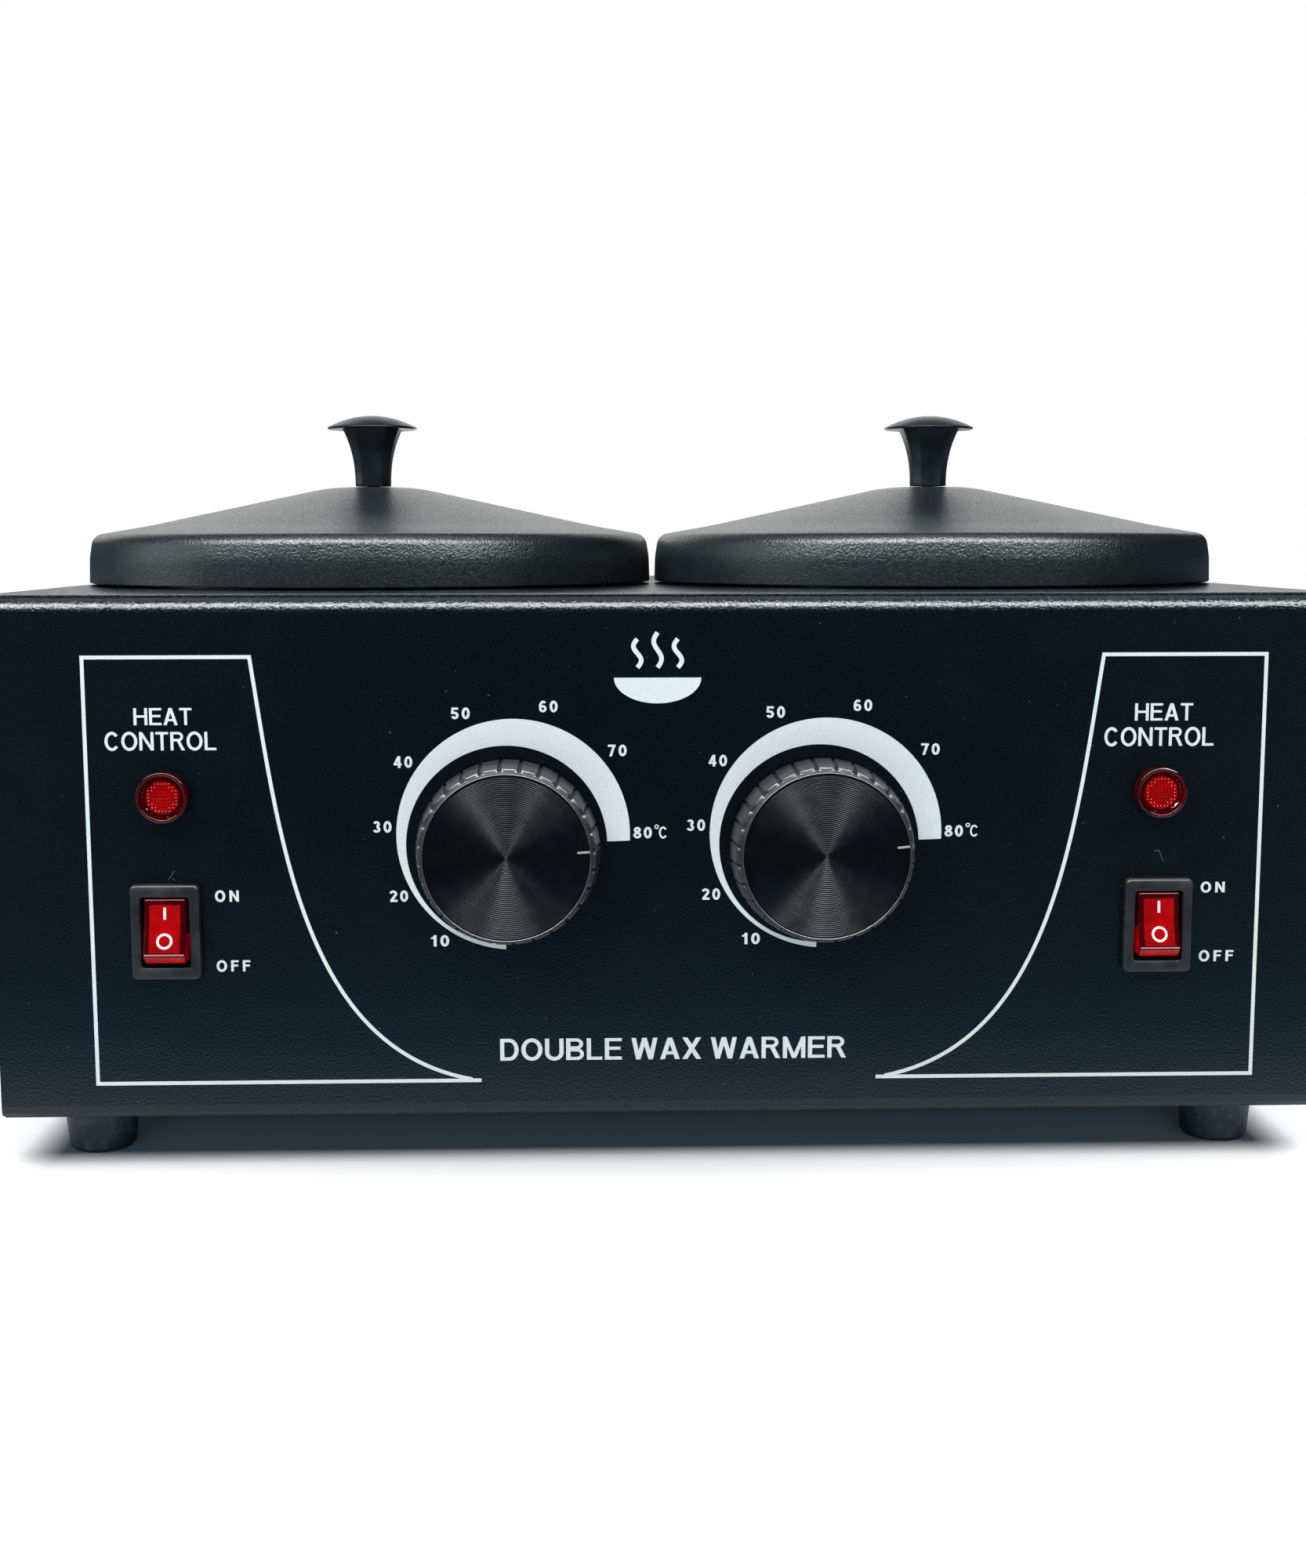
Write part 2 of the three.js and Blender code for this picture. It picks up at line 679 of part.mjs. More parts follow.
function knobFace() {
  const disc = turned([
    [0, faceFloor + gap], [faceRadius, faceFloor + gap], [faceRadius, knobFront - 0.1],
    [0, knobFront - 0.1],
  ], 28);
  const slotHalf = pointerWidth / 2 + gap;
  const slot = block([pointerInner - gap, -slotHalf, faceFloor], [faceRadius + 2, slotHalf, knobFront + 1]);
  return cut(disc, [slot]);
}

/** The silver marker let into the edge of the knob's face. */
function knobPointer() {
  return block(
    [pointerInner, -pointerWidth / 2, faceFloor + gap],
    [faceRadius - 0.1, pointerWidth / 2, knobFront + gap],
  );
}

function addControl(sideName, side) {
  const station = panelStation(side * controlX, controlZ);
  add(station, `thermostat_${sideName}`, thermostatBody(), finishes.blackPlastic);
  const turning = new THREE.Group();
  turning.rotation.z = THREE.MathUtils.degToRad(knobRestTurn[sideName]);
  station.add(turning);
  add(turning, `thermostat_shaft_${sideName}`, thermostatShaft(), finishes.zinc);
  add(turning, `control_knob_${sideName}`, controlKnob(), finishes.blackPlastic);
  add(turning, `knob_face_${sideName}`, knobFace(), finishes.spunMetal);
  add(turning, `knob_pointer_${sideName}`, knobPointer(), finishes.silver);
  add(warmer, `sensing_bulb_${sideName}`, sensingBulb(side), finishes.brass);
}

/** The red lens: a raised rim round a lower field, with a stub through the panel. */
function lampLens() {
  return turned([
    [0, -5.5], [lampBarrelRadius, -5.5], [lampBarrelRadius, gap], [lampRadius, gap],
    [lampRadius, 3.3], [lampRadius - 0.3, 3.6], [lampRadius - 0.9, 3.6],
    [lampRadius - 1.3, 2.9], [0, 2.9],
  ], 20);
}

function lampBody() {
  const [front, back] = [-5.5 - gap, -22];
  const barrel = rod(lampBarrelRadius, back, front, 12);
  const pins = [-2, 2].map((x) => block([x - 0.4, -1.4, back - 6], [x + 0.4, 1.4, back + 1]));
  return join([barrel, ...pins]);
}

function lampNut() {
  const top = -sheet - gap;
  const hexagon = rod(7.6, top - 2.6, top, 6);
  return cut(hexagon, [rod(lampBarrelRadius + gap, top - 4, top + 1, 12)]);
}

function addLamp(sideName, side) {
  const station = panelStation(side * lampX, lampZ);
  add(station, `lamp_lens_${sideName}`, lampLens(), finishes.redLens);
  add(station, `lamp_body_${sideName}`, lampBody(), finishes.blackPlastic);
  add(station, `lamp_nut_${sideName}`, lampNut(), finishes.zinc);
}

const bezelFront = gap + bezelThickness;
const rockerPivot = bezelFront - rockerPivotDepth;
const rockerPinRadius = 1.1;
const rockerPinReach = 5.8;

/** The switch's body: a bevelled bezel on a square barrel, with the rocker's bay and its pin holes. */
function switchBody() {
  const bezel = prism(cornered(bezelWidth, bezelHeight, 1.2), gap, bezelFront - 0.6, 2);
  const lip = prism(cornered(bezelWidth - 1.2, bezelHeight - 1.2, 0.9), bezelFront - 0.7, bezelFront, 2);
  const barrel = block(
    [-barrelWidth / 2, -barrelHeight / 2, -barrelDepth],
    [barrelWidth / 2, barrelHeight / 2, gap + 0.5],
  );
  const blades = [-6, 0, 6].map((y) => (
    block([-2.4, y - 0.4, -barrelDepth - 7.5], [2.4, y + 0.4, -barrelDepth + 1])
  ));
  const [bayHalfWidth, mouthHalfHeight, bayHalfHeight] = [rockerOpeningWidth / 2, rockerOpeningHeight / 2, 8.8];
  const mouth = block([-bayHalfWidth, -mouthHalfHeight, -1], [bayHalfWidth, mouthHalfHeight, bezelFront + 1]);
  const bay = block([-bayHalfWidth, -bayHalfHeight, -10], [bayHalfWidth, bayHalfHeight, bezelFront - 1]);
  const pinReach = rockerPinReach + gap;
  const pinHole = alongX(rod(rockerPinRadius + gap, -pinReach, pinReach, 8)).translate(0, 0, rockerPivot);
  return cut(join([bezel, lip, barrel, ...blades]), [mouth, bay, pinHole]);
}

/**
 * The rocker about its pivot, in its middle position: a shallow V in front, ends that are arcs about
 * the pivot, sides that draw in a little towards the front, and a pin each side.
 */
function rocker() {
  const [faceAngle, endAngle, valley] = [44.2, 62, 5.6];
  const ends = arcPoints([0, 0], rockerEndRadius, 90 - faceAngle, 90 - endAngle, 3);
  const underside = [[6.5, 1], [5, -2.5], [0, -3.4], [-5, -2.5], [-6.5, 1]];
  const outline = [...ends, ...underside, ...ends.map(([y, z]) => [-y, z]).reverse(), [0, valley]];
  const faceHeight = ends[0][1];
  const levels = [-1, 1].map((side) => outline.map(([y, z]) => {
    const taper = Math.max(0, z) / faceHeight;
    return [side * (rockerBaseWidth - (rockerBaseWidth - rockerFaceWidth) * taper) / 2, y, z];
  }));
  const pins = alongX(rod(rockerPinRadius, -rockerPinReach, rockerPinReach, 8));
  return join([lofted(levels), pins]);
}

function addSwitch(sideName, side) {
  const station = panelStation(side * switchX, switchZ);
  add(station, `switch_body_${sideName}`, switchBody(), finishes.blackPlastic);
  const rockerMesh = add(station, `rocker_${sideName}`, rocker(), finishes.redRocker);
  rockerMesh.position.z = rockerPivot;
  rockerMesh.rotation.x = -THREE.MathUtils.degToRad(rockerThrow);
}

// ----------------------------------------------------------- supply and wiring

const terminalBlock = { x: 95, y: backY - 36, halfWidth: 17, halfDepth: 10, height: 15 };

function terminalBlockBody() {
  const { halfWidth, halfDepth, height } = terminalBlock;
  const base = block([-halfWidth, -halfDepth, 0], [halfWidth, halfDepth, 7]);
  const towers = block([-halfWidth, -halfDepth + 3, 6], [halfWidth, halfDepth - 3, height]);
  const screwWells = [-11, 0, 11].map((x) => rod(2.2, height - 6, height + 1, 8).translate(x, 0, 0));
  return cut(join([base, towers]), screwWells);
}

/** The cord gland in the back wall: local Z points out of the back. */
function cordGland() {
  const barrelRadius = cordWayRadius + 4;
  return turnedRing([
    [cordWayRadius, -9], [barrelRadius, -9], [barrelRadius, gap], [barrelRadius + 3, gap],
    [barrelRadius + 3, 3], [barrelRadius + 1.4, 4.2], [cordWayRadius + 1.8, glandReach - 0.8],
    [cordWayRadius + 1.2, glandReach], [cordWayRadius, glandReach],
  ], 16);
}

function addSupply() {
  const supplyBlock = add(warmer, 'terminal_block', terminalBlockBody(), finishes.ceramic);
  supplyBlock.position.set(terminalBlock.x, terminalBlock.y, basePanBottom + sheet + gap);
  const gland = add(warmer, 'cord_gland', cordGland(), finishes.blackPlastic);
  gland.rotation.x = -Math.PI / 2;
  gland.position.set(glandX, backY, glandZ);
}

/** Leads inside the case, each held between the terminals that it joins. */
function addLeads(sideName, side) {
  const blockFront = terminalBlock.y - terminalBlock.halfDepth;
  const leadFloor = basePanBottom + sheet + 5;
  const switchTail = frontY + barrelDepth + 7.5 + 1.5;
  const blockX = terminalBlock.x + (side > 0 ? 8 : -8);
  add(warmer, `supply_lead_${sideName}`, lead([
    [blockX, blockFront - 1, leadFloor + 2],
    [blockX, blockFront - 10, leadFloor],
    [side > 0 ? 104 : 40, 20, leadFloor],
    [side > 0 ? 106 : -60, -40, leadFloor],
    [side * switchX, switchTail + 6, leadFloor + 6],
    [side * switchX, switchTail + 4, switchZ - 12],
    [side * switchX, switchTail, switchZ - 6],
  ], 1.3, 16), finishes.leadSleeve);
  const bladeZ = controlZ - 7.6;
  const thermostatTail = frontY - thermostatBack + 7 + 1.5;
  add(warmer, `switch_lead_${sideName}`, lead([
    [side * switchX, switchTail, switchZ],
    [side * (switchX - 4), switchTail + 4, switchZ - 2],
    [side * 78, frontY + 26, switchZ - 10],
    [side * (controlX + 12), thermostatTail + 3, bladeZ - 12],
    [side * (controlX + 7), thermostatTail, bladeZ],
  ], 1.1, 10), finishes.leadSleeve);
  const earZ = caseTop + heaterBottom + heaterHeight / 2;
  const wellX = side * wellSpacing / 2;
  const earTip = wellY - wellRadius - gap - heaterWall - earLength;
  add(warmer, `heater_lead_${sideName}`, lead([
    [side * (controlX - 7), thermostatTail, bladeZ],
    [side * (controlX - 5), thermostatTail + 4, bladeZ - 9],
    [side * (controlX + 14), earTip - 6, bladeZ - 10],
    [wellX - side * 8, earTip - 6, earZ - 1],
    [wellX - side * 3.25, earTip - 3, earZ],
    [wellX - side * 3.25, earTip - gap, earZ],
  ], 1.1, 10), finishes.leadSleeve);
}

addCase();
addSupply();
for (const [sideName, side] of [['left', -1], ['right', 1]]) {
  addWell(sideName, side);
  addControl(sideName, side);
  addLamp(sideName, side);
  addSwitch(sideName, side);
  addLeads(sideName, side);
}

export default warmer;
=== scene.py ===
from math import atan2, cos, hypot, pi, radians, sin, sqrt, tan

import bmesh
import bpy
from mathutils import Matrix, Vector
from mathutils.geometry import delaunay_2d_cdt, interpolate_bezier


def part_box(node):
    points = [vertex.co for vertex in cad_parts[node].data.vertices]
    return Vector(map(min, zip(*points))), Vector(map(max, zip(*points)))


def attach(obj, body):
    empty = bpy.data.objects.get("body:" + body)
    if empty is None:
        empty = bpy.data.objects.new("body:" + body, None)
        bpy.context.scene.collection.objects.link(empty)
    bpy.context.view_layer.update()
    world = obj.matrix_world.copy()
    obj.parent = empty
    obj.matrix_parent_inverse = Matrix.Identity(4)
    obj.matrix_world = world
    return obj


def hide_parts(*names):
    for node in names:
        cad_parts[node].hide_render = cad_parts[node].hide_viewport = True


# The looks of a double wax warmer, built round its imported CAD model. Shapes are given in
# millimetres in a local frame and placed by a matrix, so that every mesh ends in metres.

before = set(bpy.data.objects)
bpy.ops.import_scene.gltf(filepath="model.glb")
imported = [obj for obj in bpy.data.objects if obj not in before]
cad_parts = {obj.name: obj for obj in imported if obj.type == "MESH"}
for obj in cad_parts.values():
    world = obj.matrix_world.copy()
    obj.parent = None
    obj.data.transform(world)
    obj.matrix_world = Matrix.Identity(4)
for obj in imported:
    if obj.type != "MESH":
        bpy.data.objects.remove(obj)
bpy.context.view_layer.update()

MM = 0.001
TAU = 2 * pi
SIDES = ("left", "right")


# ---- places

def middle(node):
    low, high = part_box(node)
    return (low + high) / 2


COVER_LOW, COVER_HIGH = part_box("housing_cover")
FRONT_Y, BACK_Y = COVER_LOW.y, COVER_HIGH.y
CASE_BOTTOM, CASE_TOP = COVER_LOW.z, COVER_HIGH.z
CASE_SIDE = COVER_HIGH.x
PANEL_TURN = Matrix.Rotation(pi / 2, 4, "X")
BACK_TURN = Matrix.Rotation(-pi / 2, 4, "X")
TO_METRES = Matrix.Scale(MM, 4)


def on_panel(x, z):
    """A place on the front panel: local X runs right, local Y up and local Z out of the panel."""
    return Matrix.Translation((x, FRONT_Y, z)) @ PANEL_TURN @ TO_METRES


def on_panel_at(node):
    """A node's place on the front panel."""
    centre = middle(node)
    return on_panel(centre.x, centre.z)


def on_back_at(node):
    """A node's place on the back wall, with local Z out of the back."""
    centre = middle(node)
    return Matrix.Translation((centre.x, BACK_Y, centre.z)) @ BACK_TURN @ TO_METRES


def over_well(side):
    """The top of the case on a well's axis, with local Z up."""
    centre = middle(f"well_{side}")
    return Matrix.Translation((centre.x, centre.y, CASE_TOP)) @ TO_METRES


def upright(x, y, z=0.0):
    return Matrix.Translation((x, y, z)) @ TO_METRES


# ---- mesh building

def new_mesh(name, points, faces, place):
    mesh = bpy.data.meshes.new(name)
    mesh.from_pydata([place @ Vector(point) for point in points], [], faces)
    shape = bmesh.new()
    shape.from_mesh(mesh)
    bmesh.ops.remove_doubles(shape, verts=shape.verts, dist=1e-7)
    bmesh.ops.recalc_face_normals(shape, faces=shape.faces)
    shape.to_mesh(mesh)
    shape.free()
    return mesh


def new_object(name, mesh):
    piece = bpy.data.objects.new(name, mesh)
    bpy.context.scene.collection.objects.link(piece)
    return piece


def round_edges(mesh, width, segments=2, angle=30):
    """Rounds each edge whose faces meet at more than the angle; the width is in millimetres."""
    shape = bmesh.new()
    shape.from_mesh(mesh)
    limit = radians(angle)
    edges = [e for e in shape.edges if e.is_manifold and e.calc_face_angle(0) > limit]
    bmesh.ops.bevel(
        shape, geom=edges, offset=width * MM, segments=segments, profile=0.5,
        affect="EDGES", clamp_overlap=True,
    )
    shape.to_mesh(mesh)
    shape.free()


def dress(piece, material):
    piece.data.materials.clear()
    piece.data.materials.append(material)


def finish_piece(piece, material, body, replaced=None, crease=50):
    """Gives a made piece its material, its body and the CAD node it stands for."""
    dress(piece, material)
    piece.data.shade_smooth()
    piece.data.set_sharp_from_angle(angle=radians(crease))
    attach(piece, body)
    if replaced:
        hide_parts(replaced)
    return piece


def make_piece(name, shape, place, material, body, replaced=None, crease=50):
    """A shape put in its place and finished, as one object."""
    return finish_piece(shape_object(name, shape, place), material, body, replaced, crease)


def applied(piece):
    """Replaces a piece's mesh with the result of its modifiers."""
    bpy.context.view_layer.update()
    result = piece.evaluated_get(bpy.context.evaluated_depsgraph_get())
    mesh = bpy.data.meshes.new_from_object(result)
    piece.modifiers.clear()
    piece.data = mesh
    return piece


def combine(piece, others, operation):
    """Cuts or joins other objects into a piece, and deletes them."""
    for other in others:
        modifier = piece.modifiers.new("combine", "BOOLEAN")
        modifier.operation = operation
        modifier.solver = "EXACT"
        modifier.object = other
    applied(piece)
    for other in others:
        bpy.data.objects.remove(other)
    return piece


def merged(name, pieces):
    """One object made of several separate meshes."""
    shape = bmesh.new()
    for piece in pieces:
        shape.from_mesh(piece.data)
    mesh = bpy.data.meshes.new(name)
    shape.to_mesh(mesh)
    shape.free()
    for piece in pieces:
        bpy.data.objects.remove(piece)
    return new_object(name, mesh)


def arc_through(corner, before, after, radius, steps):
    """The points of the arc that rounds one corner of a path."""
    to_before = (before - corner).normalized()
    to_after = (after - corner).normalized()
    half = to_before.angle(to_after) / 2
    if radius <= 0 or half > pi / 2 - 1e-3:
        return [corner]
    reach = min(radius / tan(half), (before - corner).length / 2, (after - corner).length / 2)
    radius = reach * tan(half)
    centre = corner + (to_before + to_after).normalized() * (radius / sin(half))
    start = corner + to_before * reach - centre
    end = corner + to_after * reach - centre
    turn = atan2(start.x * end.y - start.y * end.x, start.dot(end))
    points = []
    for step in range(steps + 1):
        angle = turn * step / steps
        cosine, sine = cos(angle), sin(angle)
        points.append(centre + Vector((
            start.x * cosine - start.y * sine,
            start.x * sine + start.y * cosine,
        )))
    return points


def rounded(corners, closed=False, steps=6):
    """A path through [x, y, radius] corners, each rounded by its own radius."""
    spots = [Vector((x, y)) for x, y, _ in corners]
    path = []
    for index, (spot, corner) in enumerate(zip(spots, corners)):
        at_end = index in (0, len(spots) - 1)
        if at_end and not closed:
            path.append(spot)
            continue
        before, after = spots[index - 1], spots[(index + 1) % len(spots)]
        path.extend(arc_through(spot, before, after, corner[2], steps))
    return [(point.x, point.y) for point in path]


def stitched(rings, closed):
    """Faces between neighbouring rings of point numbers; equal numbers fold into triangles."""
    faces = []
    pairs = list(zip(rings, rings[1:]))
    if closed:
        pairs.append((rings[-1], rings[0]))
    for lower, upper in pairs:
        count = len(lower)
        for k in range(count):
            n = (k + 1) % count
            face = list(dict.fromkeys([lower[k], lower[n], upper[n], upper[k]]))
            if len(face) > 2:
                faces.append(face)
    return faces


def turned(profile, segments=96, closed=False, shaped=None):
    """A shape turned about local Z from [radius, height] points.

    shaped(radius, height, angle) may move a point to another radius and height, for grips or ribs.
    """
    points, rings = [], []
    for radius, height in profile:
        if radius < 1e-6:
            rings.append([len(points)] * segments)
            points.append((0.0, 0.0, height))
            continue
        ring = []
        for k in range(segments):
            angle = TAU * k / segments
            reach, level = shaped(radius, height, angle) if shaped else (radius, height)
            ring.append(len(points))
            points.append((reach * cos(angle), reach * sin(angle), level))
        rings.append(ring)
    return points, stitched(rings, closed)


def lofted(sections, closed=False):
    """A shape through sections of equally many points; open ends are capped."""
    points, rings = [], []
    for section in sections:
        rings.append(list(range(len(points), len(points) + len(section))))
        points.extend(section)
    faces = stitched(rings, closed)
    if not closed:
        faces.append(list(reversed(rings[0])))
        faces.append(rings[-1])
    return points, faces


def rounded_rectangle(width, height, corner, z, steps=5):
    w, h = width / 2, height / 2
    outline = rounded([(w, h, corner), (-w, h, corner), (-w, -h, corner), (w, -h, corner)],
                      closed=True, steps=steps)
    return [(x, y, z) for x, y in outline]


def block(low, high):
    """The points and faces of a box between two corners."""
    points = [(x, y, z) for x in (low[0], high[0]) for y in (low[1], high[1]) for z in (low[2], high[2])]
    faces = [(0, 1, 3, 2), (4, 6, 7, 5), (0, 4, 5, 1), (2, 3, 7, 6), (0, 2, 6, 4), (1, 5, 7, 3)]
    return points, faces


def shape_object(name, shape, place, edge=0.0, edge_segments=2):
    points, faces = shape
    mesh = new_mesh(name, points, faces, place)
    if edge:
        round_edges(mesh, edge, edge_segments)
    return new_object(name, mesh)


# ---- material building

def socket_name(name):
    """The label of a socket: specular_ior_level is Specular IOR Level."""
    return name.replace("_", " ").title().replace("Ior", "IOR")


class Finish:
    """A procedural material round one Principled shader."""

    def __init__(self, name, colour, roughness, metallic=0.0):
        self.material = bpy.data.materials.new(name)
        self.material.use_nodes = True
        self.nodes = self.material.node_tree.nodes
        self.links = self.material.node_tree.links
        self.shader = self.nodes["Principled BSDF"]
        self.set(base_color=(*colour, 1), roughness=roughness, metallic=metallic)
        self.place = self.node("TexCoord").outputs["Object"]
        self.relief = None

    def fill(self, node, values):
        """Sets a node's inputs by name, each to a value or to a link from another socket."""
        for name, value in values.items():
            socket = node.inputs[socket_name(name)]
            if isinstance(value, bpy.types.NodeSocket):
                self.links.new(value, socket)
            else:
                socket.default_value = value

    def set(self, **values):
        self.fill(self.shader, values)

    def node(self, kind, **values):
        node = self.nodes.new(f"ShaderNode{kind}")
        self.fill(node, values)
        return node

    def calculated(self, kind, operation, *sockets):
        """The result of a Math or VectorMath node on other sockets."""
        node = self.node(kind)
        node.operation = operation
        for index, socket in enumerate(sockets):
            self.links.new(socket, node.inputs[index])
        return node.outputs["Value"]

    def stretched(self, scale):
        return self.node("Mapping", vector=self.place, scale=scale).outputs["Vector"]

    def noise(self, grain, detail=3.0, rough=0.5, place=None):
        """Noise whose lumps are about grain millimetres across."""
        place = place or self.place
        node = self.node("TexNoise", vector=place, scale=1 / (grain * MM), detail=detail, roughness=rough)
        return node.outputs["Fac"]

    def cells(self, grain):
        return self.node("TexVoronoi", vector=self.place, scale=1 / (grain * MM)).outputs["Distance"]

    def ranged(self, value, low, high, out_low=0, out_high=1):
        ends = {"from_min": low, "from_max": high, "to_min": out_low, "to_max": out_high}
        return self.node("MapRange", value=value, **ends).outputs["Result"]

    def blended(self, factor, first, second):
        """A colour between two others, by a 0 to 1 factor."""
        node = self.nodes.new("ShaderNodeMix")
        node.data_type = "RGBA"
        self.links.new(factor, node.inputs[0])
        for socket, colour in ((node.inputs[6], first), (node.inputs[7], second)):
            if isinstance(colour, bpy.types.NodeSocket):
                self.links.new(colour, socket)
            else:
                socket.default_value = (*colour, 1)
        return node.outputs[2]

    def mottled(self, value, low, high, first, second):
        """Colours the surface from first to second while a value rises from low to high."""
        self.set(base_color=self.blended(self.ranged(value, low, high), first, second))

    def uneven(self, value, low, high):
        """Roughness from low to high, by a noise value."""
        self.set(roughness=self.ranged(value, 0.3, 0.7, low, high))

    def bump(self, height, depth):
        """Adds relief of a depth in millimetres, over any relief already there."""
        node = self.node("Bump", height=height, strength=1.0, distance=depth * MM)
        if self.relief:
            self.links.new(self.relief, node.inputs["Normal"])
        self.relief = node.outputs["Normal"]
        self.set(normal=self.relief)


def pebble_coat(name, dark, light, roughness, depth, tint, gloss):
    """Powder coat: fine lumps, slow mottling and a few pale specks of dust."""
    finish = Finish(name, dark, roughness)
    finish.set(specular_tint=(*tint, 1), specular_ior_level=gloss)
    lumps = finish.noise(0.55, detail=2.5, rough=0.55)
    tone = finish.blended(finish.ranged(finish.noise(14), 0.35, 0.65), dark, light)
    specks = finish.ranged(finish.noise(0.9, detail=1), 0.76, 0.8, 0, 0.5)
    finish.set(base_color=finish.blended(specks, tone, (0.12, 0.14, 0.15)))
    finish.uneven(lumps, roughness - 0.07, roughness + 0.07)
    finish.bump(finish.ranged(lumps, 0.3, 0.7), depth)
    finish.bump(finish.noise(12, detail=1), 0.1)
    return finish.material


def moulded(name, colour, roughness, gloss=0.5):
    """Moulded plastic: faint grain, handling marks and uneven gloss."""
    finish = Finish(name, colour, roughness)
    finish.set(specular_ior_level=gloss)
    marks = finish.noise(6, detail=6, rough=0.65)
    finish.uneven(marks, roughness - 0.08, roughness + 0.1)
    pale = tuple(min(1, c * 1.5 + 0.004) for c in colour)
    finish.mottled(marks, 0.4, 0.75, colour, pale)
    finish.bump(finish.noise(0.5), 0.02)
    return finish.material


def metal(name, colour, roughness, stretch=(1, 1, 1)):
    """Bare metal with drawn or turned marks; stretch sets the way that they run."""
    finish = Finish(name, colour, roughness, 1.0)
    marks = finish.noise(0.4, detail=4, rough=0.6, place=finish.stretched(stretch))
    finish.uneven(marks, roughness - 0.1, roughness + 0.12)
    dull = tuple(c * 0.8 for c in colour)
    finish.mottled(finish.noise(22, detail=4), 0.35, 0.7, colour, dull)
    finish.bump(marks, 0.01)
    return finish.material


def rubber_finish():
    black = (0.006, 0.011, 0.017)
    finish = Finish("foot_rubber", black, 0.62)
    dust = finish.noise(2.2, detail=6, rough=0.7)
    finish.mottled(dust, 0.5, 0.78, black, (0.05, 0.055, 0.06))
    finish.bump(finish.noise(0.35, detail=2), 0.03)
    return finish.material


def spun_face_finish():
    """The knob's dark metal face: its gloss is drawn out round the turned grooves."""
    light = (0.026, 0.0255, 0.0255)
    finish = Finish("spun_face", light, 0.28, 1.0)
    finish.set(anisotropic=0.5, anisotropic_rotation=0.25)
    tangent = finish.node("Tangent")
    tangent.direction_type = "RADIAL"
    tangent.axis = "Y"
    finish.set(tangent=tangent.outputs["Tangent"])
    wear = finish.noise(3.5, detail=5, rough=0.6)
    finish.uneven(wear, 0.27, 0.34)
    finish.mottled(wear, 0.3, 0.7, (0.022, 0.0215, 0.0215), light)
    return finish.material


def red_plastic(name, colour, roughness, glow, clear, grid=0.0, gloss=0.15):
    """Tinted plastic over a neon lamp: some light passes through and a little glows."""
    finish = Finish(name, colour, roughness)
    finish.set(ior=1.49, transmission_weight=clear, coat_weight=0.06, coat_roughness=0.04)
    finish.set(specular_ior_level=gloss, emission_color=(1.0, 0.0, 0.012, 1), emission_strength=glow)
    dark = tuple(c * 0.55 for c in colour)
    finish.mottled(finish.noise(3), 0.35, 0.65, dark, colour)
    if grid:
        finish.bump(finish.noise(grid, detail=1), 0.05)
    return finish.material


def silk_print():
    finish = Finish("silk_print", (0.52, 0.575, 0.58), 0.6)
    speck = finish.noise(0.5, rough=0.7)
    finish.mottled(speck, 0.35, 0.62, (0.45, 0.51, 0.515), (0.53, 0.595, 0.6))
    finish.bump(speck, 0.03)
    return finish.material


def mark_finish(name, bright, dull, glow):
    """Paint that catches the light of the red plastic round it, or a painted highlight: a pale colour with
    a little glow.
    """
    finish = Finish(name, bright, 0.4)
    finish.mottled(finish.noise(0.4), 0.35, 0.7, bright, dull)
    finish.set(emission_color=(1.0, 0.5, 0.5, 1), emission_strength=glow)
    return finish.material


def glass_wool_finish():
    finish = Finish("glass_wool", (0.62, 0.57, 0.42), 0.95)
    finish.set(sheen_weight=0.3)
    fibres = finish.noise(1.2, detail=8, rough=0.75, place=finish.stretched((1, 1, 6)))
    finish.mottled(fibres, 0.35, 0.65, (0.5, 0.45, 0.3), (0.75, 0.72, 0.6))
    finish.bump(fibres, 0.5)
    return finish.material


def sleeve_finish():
    """Woven glass sleeving over the leads."""
    finish = Finish("lead_sleeve", (0.28, 0.03, 0.02), 0.6)
    weave = finish.cells(0.7)
    finish.mottled(weave, 0.0, 0.6, (0.34, 0.04, 0.03), (0.15, 0.015, 0.01))
    finish.bump(weave, 0.15)
    return finish.material


case_coat = pebble_coat(
    "case_coat", dark=(0.0001, 0.002, 0.0034), light=(0.0002, 0.0028, 0.0044),
    roughness=0.22, depth=0.045, tint=(0.86, 0.97, 1.0), gloss=0.38,
)
lid_coat = pebble_coat(
    "lid_coat", dark=(0.006, 0.0105, 0.0125), light=(0.0095, 0.015, 0.017),
    roughness=0.31, depth=0.055, tint=(0.93, 1.0, 0.99), gloss=0.46,
)
lid_knob_plastic = moulded("lid_knob_plastic", (0.0015, 0.006, 0.01), 0.33, gloss=0.4)
knob_plastic = moulded("knob_plastic", (0.011, 0.0115, 0.0125), 0.38)
switch_plastic = moulded("switch_plastic", (0.0035, 0.004, 0.0045), 0.4)
inner_plastic = moulded("inner_plastic", (0.01, 0.01, 0.011), 0.45)
ceramic = moulded("block_ceramic", (0.7, 0.68, 0.6), 0.35)
silver_mark = moulded("silver_mark", (0.2, 0.2, 0.2), 0.35)
scratch_grey = moulded("scratch_grey", (0.045, 0.055, 0.06), 0.5)
cut_edge = metal("cut_edge", (0.16, 0.16, 0.155), 0.35)
turned_aluminium = metal("turned_aluminium", (0.72, 0.73, 0.74), 0.34, (1, 1, 40))
drawn_aluminium = metal("drawn_aluminium", (0.66, 0.67, 0.68), 0.4, (1, 1, 12))
heater_steel = metal("heater_steel", (0.4, 0.38, 0.36), 0.42, (1, 1, 14))
brass_parts = metal("brass_parts", (0.62, 0.43, 0.17), 0.32)
zinc_steel = metal("zinc_steel", (0.55, 0.57, 0.6), 0.34)
lens_red = red_plastic("lens_red", (0.06, 0.0003, 0.001), 0.045, 0.006, 0.35, gloss=0.4)
